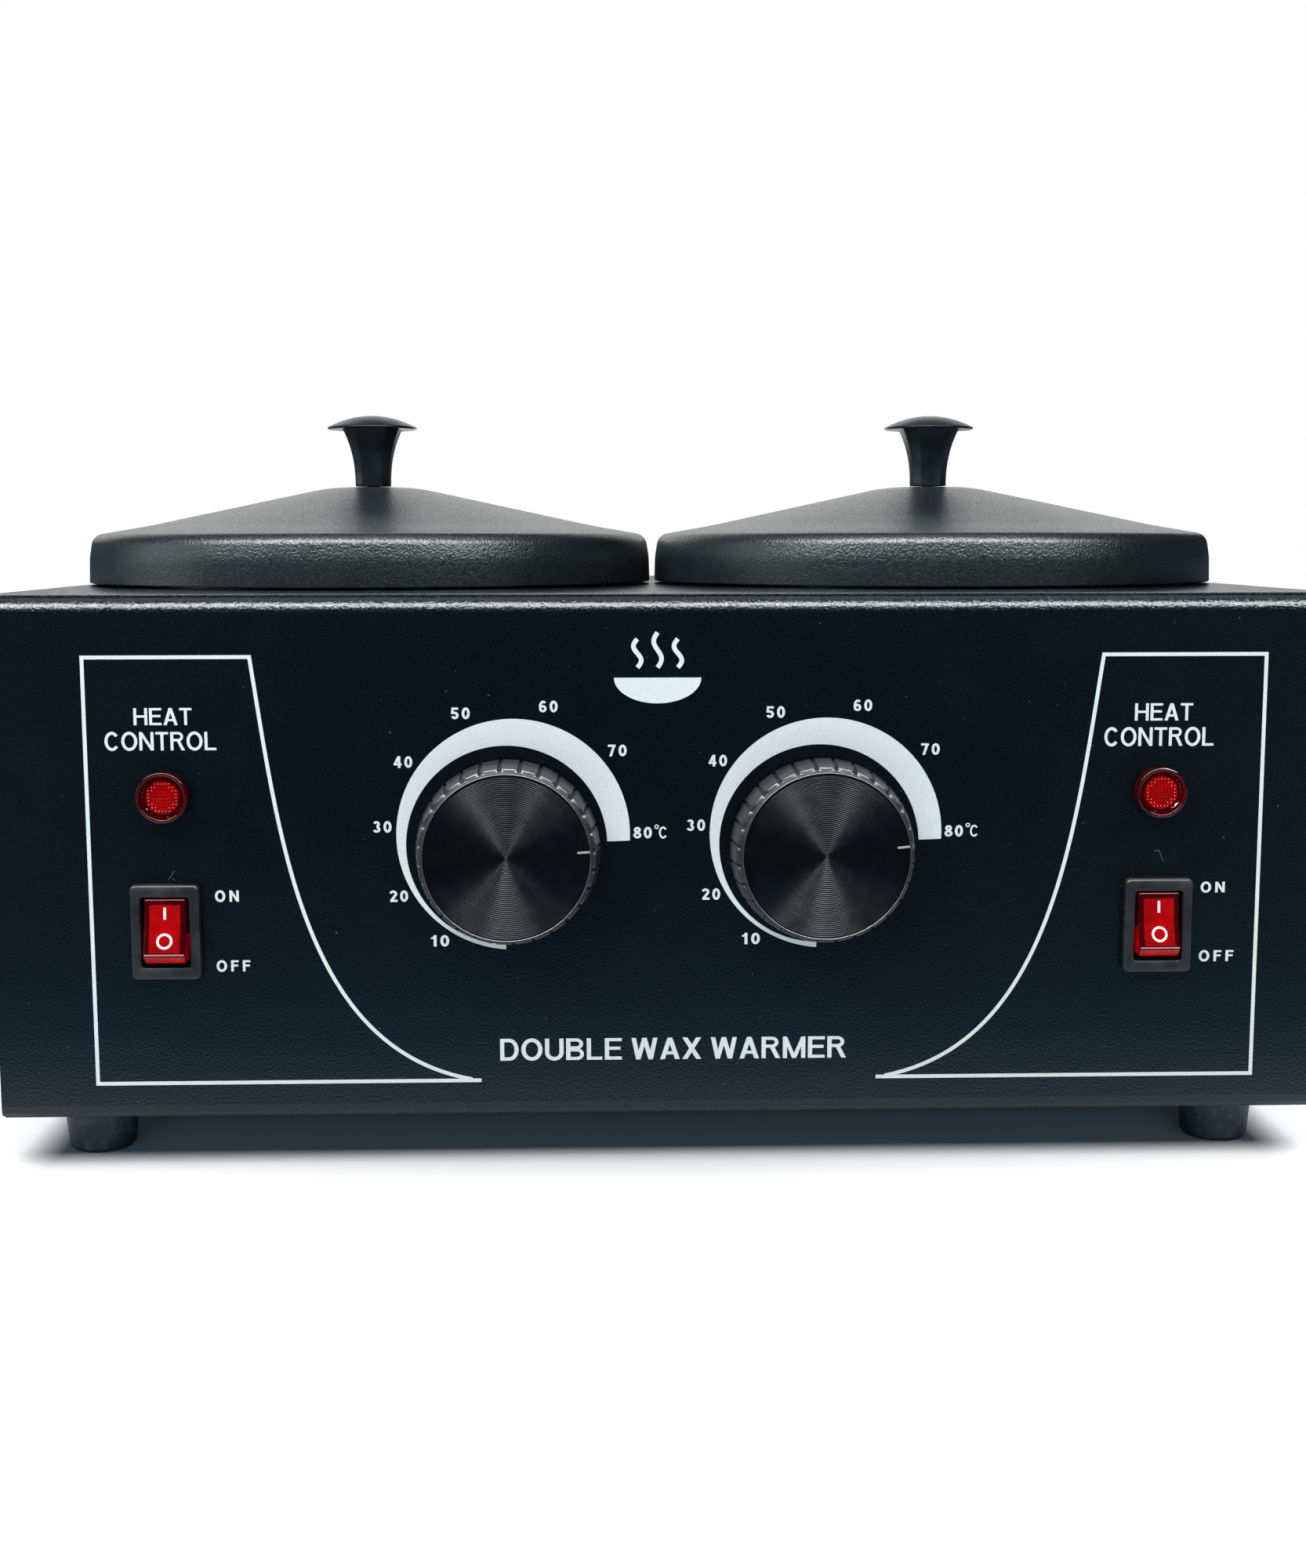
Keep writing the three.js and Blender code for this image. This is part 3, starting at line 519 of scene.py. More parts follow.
field_red = red_plastic("field_red", (0.26, 0.0002, 0.0003), 0.16, 0.07, 0.05)
rocker_red = red_plastic("rocker_red", (0.06, 0.0005, 0.0015), 0.12, 0.006, 0.3)
window_red = red_plastic("window_red", (0.3, 0.0003, 0.0006), 0.18, 0.09, 0.05, grid=0.6)
mark_white = mark_finish("mark_white", (0.85, 0.66, 0.66), (0.7, 0.45, 0.47), 0.1)
# painted highlights: pale glowing colour for the rocker's bright edges and for the glints on the lamp's
# prisms
painted_highlight_pink = mark_finish("painted_highlight_pink", (0.45, 0.16, 0.19), (0.3, 0.06, 0.08), 0.05)
painted_glint_pink = mark_finish("painted_glint_pink", (0.8, 0.2, 0.2), (0.7, 0.1, 0.1), 0.25)
foot_rubber = rubber_finish()
spun_face = spun_face_finish()
print_white = silk_print()
glass_wool = glass_wool_finish()
lead_sleeve = sleeve_finish()


# ---- the case's pieces

def cylinder_cutter(radius, place, segments=64):
    reach = 6
    profile = [(0, -reach), (radius, -reach), (radius, reach), (0, reach)]
    return shape_object("cutter", turned(profile, segments), place)


def make_cover():
    """The folded cover, with its long folds rounded and every opening cut through the sheet."""
    sheet, fold = 1.0, 4.3
    bottom, top = CASE_BOTTOM / MM, CASE_TOP / MM
    front, back, half_width = FRONT_Y / MM, BACK_Y / MM, CASE_SIDE / MM
    outline = rounded([
        (front + 0.7, bottom, 0.15), (front + 0.14, bottom + 0.8, 1.0), (front, bottom + 2.4, 2.0),
        (front, top, fold), (back, top, fold), (back, bottom, 0), (back - sheet, bottom, 0),
        (back - sheet, top - sheet, fold - sheet), (front + sheet, top - sheet, fold - sheet),
        (front + sheet, bottom, 0),
    ], closed=True, steps=14)
    ends = [[(x, y, z) for y, z in outline] for x in (-half_width, half_width)]
    cover = shape_object("cover_sheet", lofted(ends), TO_METRES)
    cutters = []
    for side in SIDES:
        centre = middle(f"well_{side}")
        cutters.append(cylinder_cutter(60.3, upright(centre.x, centre.y, CASE_TOP), segments=128))
        cutters.append(cylinder_cutter(5.0, on_panel_at(f"control_knob_{side}")))
        cutters.append(cylinder_cutter(4.9, on_panel_at(f"lamp_lens_{side}")))
        hole = block((-6.8, -9.8, -4), (6.8, 9.8, 4))
        cutters.append(shape_object("cutter", hole, on_panel_at(f"switch_body_{side}")))
        for level in ("lower", "upper"):
            place = on_back_at(f"cover_screw_{level}_{side}")
            cutters.append(cylinder_cutter(1.9, place, segments=24))
    cutters.append(cylinder_cutter(7.9, on_back_at("cord_gland")))
    combine(cover, cutters, "DIFFERENCE")
    round_edges(cover.data, 0.22, 2, angle=50)
    finish_piece(cover, case_coat, "housing", "housing_cover")
    weighted = cover.modifiers.new("normals", "WEIGHTED_NORMAL")  # keeps the big faces evenly lit
    weighted.keep_sharp = True
    applied(cover)


def soften_cad(node, material, width=0.15):
    """Dresses a CAD node: its corners are welded and rounded by modifiers, its mesh is untouched."""
    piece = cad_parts[node]
    dress(piece, material)
    weld = piece.modifiers.new("weld", "WELD")
    weld.merge_threshold = 1e-6
    bevel = piece.modifiers.new("edges", "BEVEL")
    bevel.width = width * MM
    bevel.segments = 2
    bevel.limit_method = "ANGLE"
    bevel.angle_limit = radians(40)
    bevel.harden_normals = True


def make_foot(spot):
    centre = middle(f"foot_{spot}")
    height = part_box(f"foot_{spot}")[1].z / MM
    outline = rounded([
        (1.9, height, 0), (8.5, height, 0.4), (8.4, height - 1.2, 0.6), (8.15, height - 1.8, 0.4),
        (7.5, 0.9, 1.2), (6.7, 0, 0.5), (3.7, 0, 0.3), (3.7, 4, 0.2), (1.9, 4, 0),
    ], closed=True)
    make_piece(f"rubber_foot_{spot}", turned(outline, 72, closed=True), upright(centre.x, centre.y),
               foot_rubber, "housing", f"foot_{spot}")


def make_screw(name, node, body, head_radius, head_height, shank, on_back=False):
    """A pan-head screw: head at local 0 upwards, then its threaded shank; a cross is cut in the head."""
    low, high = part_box(node)
    centre = middle(node)
    place = upright(centre.x, centre.y, low.z)
    if on_back:
        place = Matrix.Translation((centre.x, high.y, centre.z)) @ PANEL_TURN @ TO_METRES
    pitch, crest, root = 0.8, 1.55, 1.27
    profile = rounded([
        (0, 0, 0), (head_radius * 0.55, 0.0, 2), (head_radius, head_height * 0.6, 1.0),
        (head_radius, head_height, 0.15), (1.3, head_height, 0),
    ])
    for step in range(int(shank / pitch)):
        z = head_height + 0.3 + step * pitch
        profile += [(root, z), (crest, z + pitch / 2)]
    profile += [(1.0, head_height + shank), (0, head_height + shank)]
    piece = shape_object(name, turned(profile, 40), place)
    long, short = head_radius * 0.62, 0.45
    bars = [block((-x, -y, -1), (x, y, head_height * 0.5)) for x, y in ((long, short), (short, long))]
    combine(piece, [shape_object("cutter", bar, place) for bar in bars], "DIFFERENCE")
    finish_piece(piece, zinc_steel, body, node, crease=40)


def make_gland():
    outline = rounded([
        (3.6, -9, 0.3), (7.6, -9, 0.3), (7.6, 0.3, 0), (10.6, 0.3, 0.3), (10.6, 3, 0.8), (9.0, 4.2, 0.6),
        (6.6, 5.2, 1.0), (5.6, 9.6, 0.8), (4.8, 10.4, 0.5), (3.6, 10.4, 0.4),
    ], closed=True)

    def ribbed(radius, height, angle):
        if height < 5.4 or radius < 4.5:
            return radius, height
        return radius + 0.18 * cos(16 * angle), height

    make_piece("gland", turned(outline, 128, closed=True, shaped=ribbed), on_back_at("cord_gland"),
               inner_plastic, "housing", "cord_gland")


# ---- wells, pots and lids

def make_well(side):
    outline = rounded([
        (0, -73, 0), (60, -73, 2.8), (60, 0.3, 0), (66, 0.3, 0.1), (66, 1.1, 0.3), (59.2, 1.1, 0.6),
        (59.2, -72.2, 2.2), (0, -72.2, 0),
    ], steps=8)
    make_piece(f"well_cup_{side}", turned(outline, 160), over_well(side),
               drawn_aluminium, "housing", f"well_{side}")


def make_pot(side):
    """The wax pot: a straight wall, a stepped neck and a rim that is rolled outwards."""
    outline = rounded([
        (0, -64, 0), (57.6, -64, 3.4), (57.6, 1.7, 0.6), (62.4, 1.7, 0.9), (62.4, 10.7, 0.3),
        (65.6, 10.7, 0.7), (65.6, 12.3, 0.8), (61.2, 12.3, 0.9), (61.2, 2.9, 0.9), (56.4, 2.9, 0.5),
        (56.4, -62.8, 2.6), (0, -62.8, 0),
    ], steps=8)
    make_piece(f"wax_pot_{side}", turned(outline, 160), over_well(side),
               turned_aluminium, f"pot_{side}", f"pot_{side}")


def make_lid(side):
    outline = rounded([
        (1.9, 25.2, 0), (11.2, 25.2, 46), (58, 15.1, 160), (71.95, 12.7, 3.3), (72.9, 7.0, 16),
        (73.1, 0.6, 0.35), (72.1, 0.6, 0.3), (71.2, 11.6, 2.4), (57.8, 14.08, 160), (11.0, 24.18, 46),
        (1.9, 24.18, 0),
    ], closed=True, steps=8)
    make_piece(f"lid_dish_{side}", turned(outline, 192, closed=True), over_well(side),
               lid_coat, f"lid_{side}", f"lid_{side}", crease=45)


def make_lid_knob(side):
    """A flared square stem with cut corners, under a thin dome with a crisp edge."""
    stem_height, levels = 15.1, 18
    place = over_well(side) @ Matrix.Translation((0, 0, 25.5))
    sections = []
    for level in range(levels + 1):
        t = level / levels
        half = (8.9 + 6.1 * t ** 2.4) / 2
        flat = 0.56 * half
        corners = [(half, -flat), (half, flat), (flat, half), (-flat, half)]
        corners += [(-x, -y) for x, y in corners]
        outline = rounded([(x, y, 0.7) for x, y in corners], closed=True, steps=3)
        sections.append([(x, y, t * stem_height) for x, y in outline])
    stem = shape_object(f"lid_handle_{side}", lofted(sections), place, edge=0.12)
    rim = stem_height - 0.2
    parts = (0.85, 0.7, 0.55, 0.4, 0.25, 0.12)
    dome = [(11.8 * part, rim + 0.4 + 3.1 * (1 - part ** 2), 0) for part in parts]
    profile = rounded([
        (0, rim, 0), (9.4, rim, 1.0), (11.4, rim - 0.1, 0.1), (11.8, rim + 0.35, 0.15),
        (11.4, rim + 0.6, 0.3), *dome, (0, rim + 3.5, 0),
    ])
    cap = shape_object("cap", turned(profile, 96), place)
    bore = shape_object("bore", turned([(0, -1), (1.9, -1), (1.9, 11), (0, 11)], 32), place)
    combine(stem, [cap], "UNION")
    combine(stem, [bore], "DIFFERENCE")
    finish_piece(stem, lid_knob_plastic, f"lid_{side}", f"lid_knob_{side}")


# ---- panel controls

GRIPS = 28
GROOVE_PHASE = 0.06  # of a grip's pitch, from the marker to the first groove
KNOB_FACE_RADIUS = 18.05


def knob_place(side):
    """The knob's own frame: its local X runs towards the marker."""
    centre, tip = middle(f"control_knob_{side}"), middle(f"knob_pointer_{side}")
    turn = atan2(tip.z - centre.z, tip.x - centre.x)
    return on_panel(centre.x, centre.z) @ Matrix.Rotation(turn, 4, "Z")


def make_control_knob(side):
    """Flat grips with narrow grooves, arched front ends, a dark channel and a thin rim round the face."""
    seat = KNOB_FACE_RADIUS + 0.06
    arch_start, grip_end = 8.9, 10.3
    profile = rounded([
        (0, 11.1, 0), (seat, 11.1, 0.05), (seat, 12.1, 0.06), (18.34, 12.1, 0.1), (18.42, 11.5, 0.1),
        (18.3, 11.2, 0.1), (18.3, 10.55, 0.1), (18.75, 10.45, 0.06), (19.05, grip_end, 0.14),
        (19.15, 9.9, 0), (19.3, 9.2, 0), (19.75, 5, 0), (20.15, 2.0, 0.3), (17.9, 2.0, 0.2),
        (16.6, 9.7, 0.4), (6.6, 9.7, 0.4), (6.6, 3.0, 0.2), (3.15, 3.0, 0.2), (3.15, 10.1, 0), (0, 10.1, 0),
    ], steps=3)

    def gripped(radius, height, angle):
        if radius < 18.4 or height > 10.5:
            return radius, height
        across = 2 * ((angle / TAU * GRIPS - GROOVE_PHASE) % 1.0) - 1  # -1 to 1 over one grip
        edge = max(0.0, (abs(across) - 0.84) / 0.16)
        groove = 0.75 * edge ** 0.6
        flat = 0.1 * (1 - across * across) - 0.1
        arch = 0.75 * across ** 4 * max(0.0, (height - arch_start) / (grip_end - arch_start))
        return radius - groove - flat, height - arch

    make_piece(f"dial_knob_{side}", turned(profile, GRIPS * 24, shaped=gripped), knob_place(side),
               knob_plastic, f"knob_{side}", f"control_knob_{side}", crease=28)


def make_knob_face(side):
    """A spun metal disc: fine concentric grooves inside a bright bevelled edge, notched for the marker."""
    place = knob_place(side)
    pitch, depth, floor, top, per_groove = 0.428, 0.1, 11.4, 12.0, 6
    edge = KNOB_FACE_RADIUS - 0.14
    profile = [(0, floor), (edge - 0.1, floor), (edge, floor + 0.1), (edge, top - 0.05), (edge - 0.06, top)]
    count = int((edge - 0.05) / pitch)
    for step in range(count * per_groove, 0, -1):
        wave = 0.5 - 0.5 * cos(TAU * step / per_groove)
        profile.append((step * pitch / per_groove, top - depth * wave))
    profile.append((0, top))

    def uneven(radius, height, angle):
        if height < top - depth - 0.01 or height > top:
            return radius, height
        ripple = 0.1 * sin(3 * angle + 1) + 0.09 * sin(7 * angle) + 0.05 * sin(13 * angle)
        return radius, top - (top - height) * (0.86 + ripple)

    disc = shape_object(f"dial_face_{side}", turned(profile, 180, shaped=uneven), place)
    notch = block((15.1, -0.62, 10), (20, 0.62, 14))
    combine(disc, [shape_object("cutter", notch, place)], "DIFFERENCE")
    finish_piece(disc, spun_face, f"knob_{side}", f"knob_face_{side}")
    bead = arc(edge + 0.1, top + 0.05, 0.13, 0.13, 0, 315, steps=7)
    make_piece(f"dial_edge_{side}", turned(bead, 180, closed=True), place,
               cut_edge, f"knob_{side}")
    bar = block((15.2, 0.02, 11.4), (17.9, 0.46, 12.3))
    marker = shape_object(f"dial_marker_{side}", bar, place, edge=0.1, edge_segments=3)
    finish_piece(marker, silver_mark, f"knob_{side}", f"knob_pointer_{side}")


def prism_field(radius, base, pitch, height):
    """A round field of small four-sided prisms, closed behind."""
    points, faces, number = [], [], {}

    def spot(column, row, level):
        """The number of a grid point, which is pulled in where it lies past the field's edge."""
        key = (round(column * 2), round(row * 2), level)
        if key not in number:
            x, y = column * pitch, row * pitch
            shrink = min(1.0, radius / max(hypot(x, y), 1e-9))
            number[key] = len(points)
            points.append((x * shrink, y * shrink, level))
        return number[key]

    half = int(radius / pitch) + 2
    edges = []
    for column in range(-half, half):
        for row in range(-half, half):
            if hypot(column + 0.5, row + 0.5) * pitch >= radius + pitch * 0.6:
                continue
            ring = [spot(column + x, row + y, base) for x, y in ((0, 0), (1, 0), (1, 1), (0, 1))]
            tip = spot(column + 0.5, row + 0.5, base + height)
            for a, b in zip(ring, ring[1:] + ring[:1]):
                faces.append((a, b, tip))
                edges.append((a, b))
    known = set(edges)
    after = {a: b for a, b in edges if (b, a) not in known}
    loop = [next(iter(after))]
    while after[loop[-1]] != loop[0]:
        loop.append(after[loop[-1]])
    back = [len(points) + k for k in range(len(loop))]
    points += [(points[index][0], points[index][1], base - 0.4) for index in loop]
    for k, index in enumerate(loop):
        n = (k + 1) % len(loop)
        faces.append((loop[n], index, back[k], back[n]))
    return points, faces + [tuple(back)]


def make_lamp(side):
    """The round red lens: a dark clear rim round a lit field of prisms, with painted glints at the field's
    edge.
    """
    place = on_panel_at(f"lamp_lens_{side}")
    profile = rounded([
        (0, -5.5, 0), (4.6, -5.5, 0.2), (4.6, 0.3, 0), (5.5, 0.3, 0.1), (5.5, 3.45, 0.16), (5.15, 3.6, 0.1),
        (4.8, 3.45, 0.15), (4.5, 2.4, 0.4), (3.9, 1.9, 0.2), (0, 1.9, 0),
    ], steps=5)
    make_piece(f"lamp_rim_{side}", turned(profile, 96), place,
               lens_red, "housing", f"lamp_lens_{side}", crease=40)
    radius, pitch = 3.65, 0.74
    make_piece(f"lamp_field_{side}", prism_field(radius, 2.3, pitch, 0.34), place,
               field_red, "housing", crease=5)
    # painted highlights: small pale glowing cones at the field's edge stand in for glints on the prisms
    glints = []
    for column in range(-5, 6):
        for row in range(-5, 6):
            x, y = column * pitch, row * pitch
            if 2.5 < hypot(x, y) < radius:
                spot = place @ Matrix.Translation((x, y, 2.35))
                glints.append(shape_object("glint", turned([(0, 0), (0.11, 0), (0, 0.14)], 6), spot))
    finish_piece(merged(f"lamp_glints_{side}", glints), painted_glint_pink, "housing")


def make_switch_body(side):
    place = on_panel_at(f"switch_body_{side}")
    front = 2.3
    levels = [
        (13, 19, 0.4, -17), (13, 19, 0.4, 0.3), (15, 21, 1.2, 0.3), (15, 21, 1.2, front - 0.55),
        (14.85, 20.85, 1.15, front - 0.25), (14.5, 20.5, 1.05, front - 0.06), (14.2, 20.2, 1.0, front),
        (11.1, 16.1, 0.9, front), (10.82, 15.82, 0.8, front - 0.06), (10.7, 15.7, 0.75, front - 0.25),
        (10.7, 15.7, 0.75, 1.3), (10.7, 17.6, 0.4, 1.25), (10.7, 17.6, 0.4, -10),
    ]
    sections = [rounded_rectangle(*level) for level in levels]
    body = shape_object(f"switch_frame_{side}", lofted(sections), place)
    blades = [block((-2.4, y - 0.4, -24.5), (2.4, y + 0.4, -17.05)) for y in (-6, 0, 6)]
    parts = [body] + [shape_object("blade", blade, place, edge=0.1) for blade in blades]
    frame_piece = merged(f"switch_frame_{side}", parts)
    finish_piece(frame_piece, switch_plastic, "housing", f"switch_body_{side}", crease=40)


ROCKER_PIVOT = -3.2
ROCKER_REST = -12
ROCKER_CORNER = Vector((6.1, 6.27))
ROCKER_VALLEY = 5.6


def rocker_face_height(y):
    """Height of the shallow V of the rocker's face above its pivot, with a soft valley."""
    slope = (ROCKER_CORNER.y - ROCKER_VALLEY) / ROCKER_CORNER.x
    soft = 0.6
    return ROCKER_VALLEY + slope * (hypot(y, soft) - soft * 0.5)


def strip_over_face(half_width, low, high, lift, steps=24):
    """A thin plate that follows the rocker's face between two heights."""
    sections = []
    for step in range(steps + 1):
        y = low + (high - low) * step / steps
        z = rocker_face_height(y) + lift
        corners = ((-half_width, z), (half_width, z), (half_width, z - 0.25), (-half_width, z - 0.25))
        sections.append([(x, y, level) for x, level in corners])
    return lofted(sections)


def rocker_half_width(z):
    return (10.1 - 1.2 * max(0, z) / ROCKER_CORNER.y) / 2


def rocker_highlight_bead(y, half_width, size):
    """A thin bead along one end of the rocker's face: a painted highlight that stands in for the light the
    clear plastic catches there.
    """
    z = rocker_face_height(y) + 0.02
    return block((-half_width, y - size / 2, z - size), (half_width, y + size / 2, z + size * 0.3))


def make_rocker(side):
    """The lit rocker: a dark clear body, bright windows on its face, lower end and flanks, painted
    highlight beads along the face's ends, and marks.
    """
    body = f"rocker_{side}"
    place = on_panel_at(f"switch_body_{side}") @ Matrix.Translation((0, 0, ROCKER_PIVOT))
    place = place @ Matrix.Rotation(radians(ROCKER_REST), 4, "X")
    face = [(y, rocker_face_height(y)) for y in [ROCKER_CORNER.x * k / 12 for k in range(-12, 13)]]
    ends = arc(0, 0, 8.75, 8.75, 43, 28, steps=5)
    underside = [(6.5, 1), (5, -2.5), (0, -3.4), (-5, -2.5), (-6.5, 1)]
    outline = face + ends + underside + [(-y, z) for y, z in reversed(ends)]
    sections = [[(way * rocker_half_width(z), y, z) for y, z in outline] for way in (-1, 1)]
    shell = shape_object(f"rocker_shell_{side}", lofted(sections), place, edge=0.28, edge_segments=3)
    pin_turn = place @ Matrix.Rotation(pi / 2, 4, "Y")
    pin = shape_object("pin", turned([(0, -5.8), (1.1, -5.8), (1.1, 5.8), (0, 5.8)], 32), pin_turn)
    combine(shell, [pin], "UNION")
    finish_piece(shell, rocker_red, body, f"rocker_{side}", crease=40)
    lit = [shape_object("window", strip_over_face(3.35, -5.6, 4.9, 0.05), place)]
    end_wall = []
    for step in range(7):
        angle = radians(48 + 13.5 * step / 6)
        y, z = -sin(angle), cos(angle)
        corners = ((-1, 8.8), (1, 8.8), (1, 8.5), (-1, 8.5))
        end_wall.append([(way * 4.25, y * reach, z * reach) for way, reach in corners])
    lit.append(shape_object("end", lofted(end_wall), place))
    for way in (-1, 1):
        flank = []
        for y in (-7.0, -5.6, -4.2, -2.6, -1.2):
            low, high = 2.6, rocker_face_height(y) - (0.6 if y > -6 else 1.4)
            flank.append([(way * (rocker_half_width(z) + proud), y, z)
                          for z, proud in ((low, 0.05), (high, 0.05), (high, -0.2), (low, -0.2))])
        lit.append(shape_object("flank", lofted(flank), place))
    finish_piece(merged(f"rocker_window_{side}", lit), window_red, body)
    # painted highlights: pale glowing beads along the top and bottom ends of the face
    highlight_ends = ((-6.0, 0.3), (6.0, 0.2))
    edges = [shape_object("edge", rocker_highlight_bead(y, 4.3, size), place) for y, size in highlight_ends]
    finish_piece(merged(f"rocker_edges_{side}", edges), painted_highlight_pink, body)
    bar = shape_object("bar", strip_over_face(0.29, 1.75, 4.35, 0.09, 4), place)
    ring_sections = []
    for step in range(48):
        angle = TAU * step / 48
        section = []
        for radius, lift in ((1.75, 0.09), (1.22, 0.09), (1.22, -0.1), (1.75, -0.1)):
            x, y = radius * cos(angle), radius * sin(angle) - 3.0
            section.append((x, y, rocker_face_height(y) + lift))
        ring_sections.append(section)
    ring = shape_object("ring", lofted(ring_sections, closed=True), place)
    marks = merged(f"rocker_marks_{side}", [bar, ring])
    finish_piece(marks, mark_white, body)


# ---- prints

PRINT_FRONT = 0.045
PRINT_BACK = 0.005


def stroke(path, width, closed=False):
    """Four-sided tiles along a line of [x, y] points, with mitred joints."""
    spots = [Vector(point) for point in path]
    count = len(spots)
    edges = []
    for index, spot in enumerate(spots):
        ways = []
        if closed or index > 0:
            ways.append((spot - spots[index - 1]).normalized())
        if closed or index < count - 1:
            ways.append((spots[(index + 1) % count] - spot).normalized())
        along = sum(ways, Vector((0, 0))).normalized()
        across = Vector((-along.y, along.x))
        square = max(0.35, along.dot(ways[0]))
        reach = across * (width / 2 / square)
        edges.append((spot + reach, spot - reach))
    tiles = []
    for index in range(count if closed else count - 1):
        start, end = edges[index], edges[(index + 1) % count]
        tiles.append([start[0], start[1], end[1], end[0]])
    return tiles


def ink(name, tiles):
    """One thin printed solid from flat tiles that may overlap, given in panel millimetres."""
    points, faces = [], []
    for tile in tiles:
        spots = [Vector(spot) for spot in tile]
        if sum(a.cross(b) for a, b in zip(spots, spots[1:] + spots[:1])) < 0:
            spots.reverse()
        faces.append(list(range(len(points), len(points) + len(spots))))
        points.extend(spots)
    spots, _, triangles, _, _, sources = delaunay_2d_cdt(points, [], faces, 1, 1e-5)
    triangles = [triangle for triangle, source in zip(triangles, sources) if source]
    count = len(spots)
    solid_points = [(p.x, p.y, PRINT_FRONT) for p in spots] + [(p.x, p.y, PRINT_BACK) for p in spots]
    edges = [edge for t in triangles for edge in zip(t, t[1:] + t[:1])]
    known = set(edges)
    solid_faces = [tuple(t) for t in triangles]
    solid_faces += [tuple(count + i for i in reversed(t)) for t in triangles]
    solid_faces += [(b, a, count + a, count + b) for a, b in edges if (b, a) not in known]
    return shape_object(name, (solid_points, solid_faces), on_panel(0, 0))


def arc(x, y, reach_x, reach_y, start, end, steps=14):
    """Points on an ellipse's arc between two angles in degrees."""
    angles = [radians(start + (end - start) * k / steps) for k in range(steps + 1)]
    return [(x + reach_x * cos(a), y + reach_y * sin(a)) for a in angles]


def slant(x0, y0, x1, y1, width):
    """A sloping bar whose two ends are cut level."""
    half = width / 2
    return [[(x0 - half, y0), (x0 + half, y0), (x1 + half, y1), (x1 - half, y1)]]


def upright_bar(x, width, low=0.0, high=1.0):
    return stroke([(x, low), (x, high)], width)


def level_bar(y, width, left, right):
    return stroke([(left, y), (right, y)], width)


WIDTHS = {
    "H": 0.74, "N": 0.74, "M": 0.88, "E": 0.66, "F": 0.6, "L": 0.6, "T": 0.66, "A": 0.76, "W": 1.02,
    "X": 0.74, "O": 0.82, "C": 0.76, "D": 0.72, "U": 0.72, "R": 0.73, "B": 0.7, "0": 0.58, "1": 0.44,
    "2": 0.58, "3": 0.58, "4": 0.6, "5": 0.58, "6": 0.58, "7": 0.56, "8": 0.58,
}


def letter(sign, t):
    """The tiles of one bold sans-serif letter, one unit high, in strokes t wide."""
    width, m = WIDTHS[sign], t / 2  # m is the middle of a stroke at the letter's edge
    bar = t * 0.86
    b = bar / 2
    if sign in "HNM":
        tiles = upright_bar(m, t) + upright_bar(width - m, t)
        if sign == "H":
            return tiles + level_bar(0.51, bar, m, width - m)
        if sign == "N":
            return tiles + slant(m, 1, width - m, 0, t * 1.05)
        return tiles + slant(m, 1, width / 2, 0, t * 0.95) + slant(width - m, 1, width / 2, 0, t * 0.95)
    if sign in "EFL":
        tiles = upright_bar(m, t)
        if sign != "F":
            tiles += level_bar(b, bar, m, width)
        if sign != "L":
            tiles += level_bar(1 - b, bar, m, width) + level_bar(0.53, bar, m, width - 0.05)
        return tiles
    if sign == "T":
        return level_bar(1 - b, bar, 0, width) + upright_bar(0.33, t)
    if sign == "A":
        tiles = slant(m * 1.1, 0, 0.38, 1, t * 1.1) + slant(width - m * 1.1, 0, 0.38, 1, t * 1.1)
        return tiles + level_bar(0.29, bar, 0.2, 0.56)
    if sign == "W":
        feet, tiles = (m * 1.1, 0.27, 0.51, 0.75, width - m * 1.1), []
        for k in range(4):
            tiles += slant(feet[k], (k + 1) % 2, feet[k + 1], k % 2, t * 1.05)
        return tiles
    if sign == "X":
        left, right = m * 1.2, width - m * 1.2
        return slant(left, 0, right, 1, t * 1.2) + slant(left, 1, right, 0, t * 1.2)
    if sign in "OC":
        start, end, steps = (0, 345, 23) if sign == "O" else (38, 322, 24)
        ring = arc(width / 2, 0.5, width / 2 - m, 0.51 - b, start, end, steps)
        return stroke(ring, t, closed=sign == "O")
    if sign == "D":
        bow = arc(0.36, 0.5, 0.36 - m, 0.5 - b, -90, 90)
        return stroke([(m, b)] + bow + [(m, 1 - b)], t * 0.95, closed=True)
    if sign == "U":
        bow = arc(0.36, 0.36, 0.36 - m, 0.37 - b, 180, 360)
        return stroke([(m, 1)] + bow + [(width - m, 1)], t)
    if sign in "RB":
        bow = arc(0.4, 0.745, 0.27 - m, 0.255 - b, -90, 90, 10)
        tiles = upright_bar(m, t) + stroke([(m, 0.49 + b)] + bow + [(m, 1 - b)], bar)
        if sign == "R":
            return tiles + slant(0.42, 0.5, width - m * 1.1, 0, t * 1.12)
        bow = arc(0.42, 0.27, 0.28 - m, 0.27 - b, -90, 90, 10)
        return tiles + stroke([(m, b)] + bow + [(m, 0.54 - b)], bar)
    return figure(sign, t)


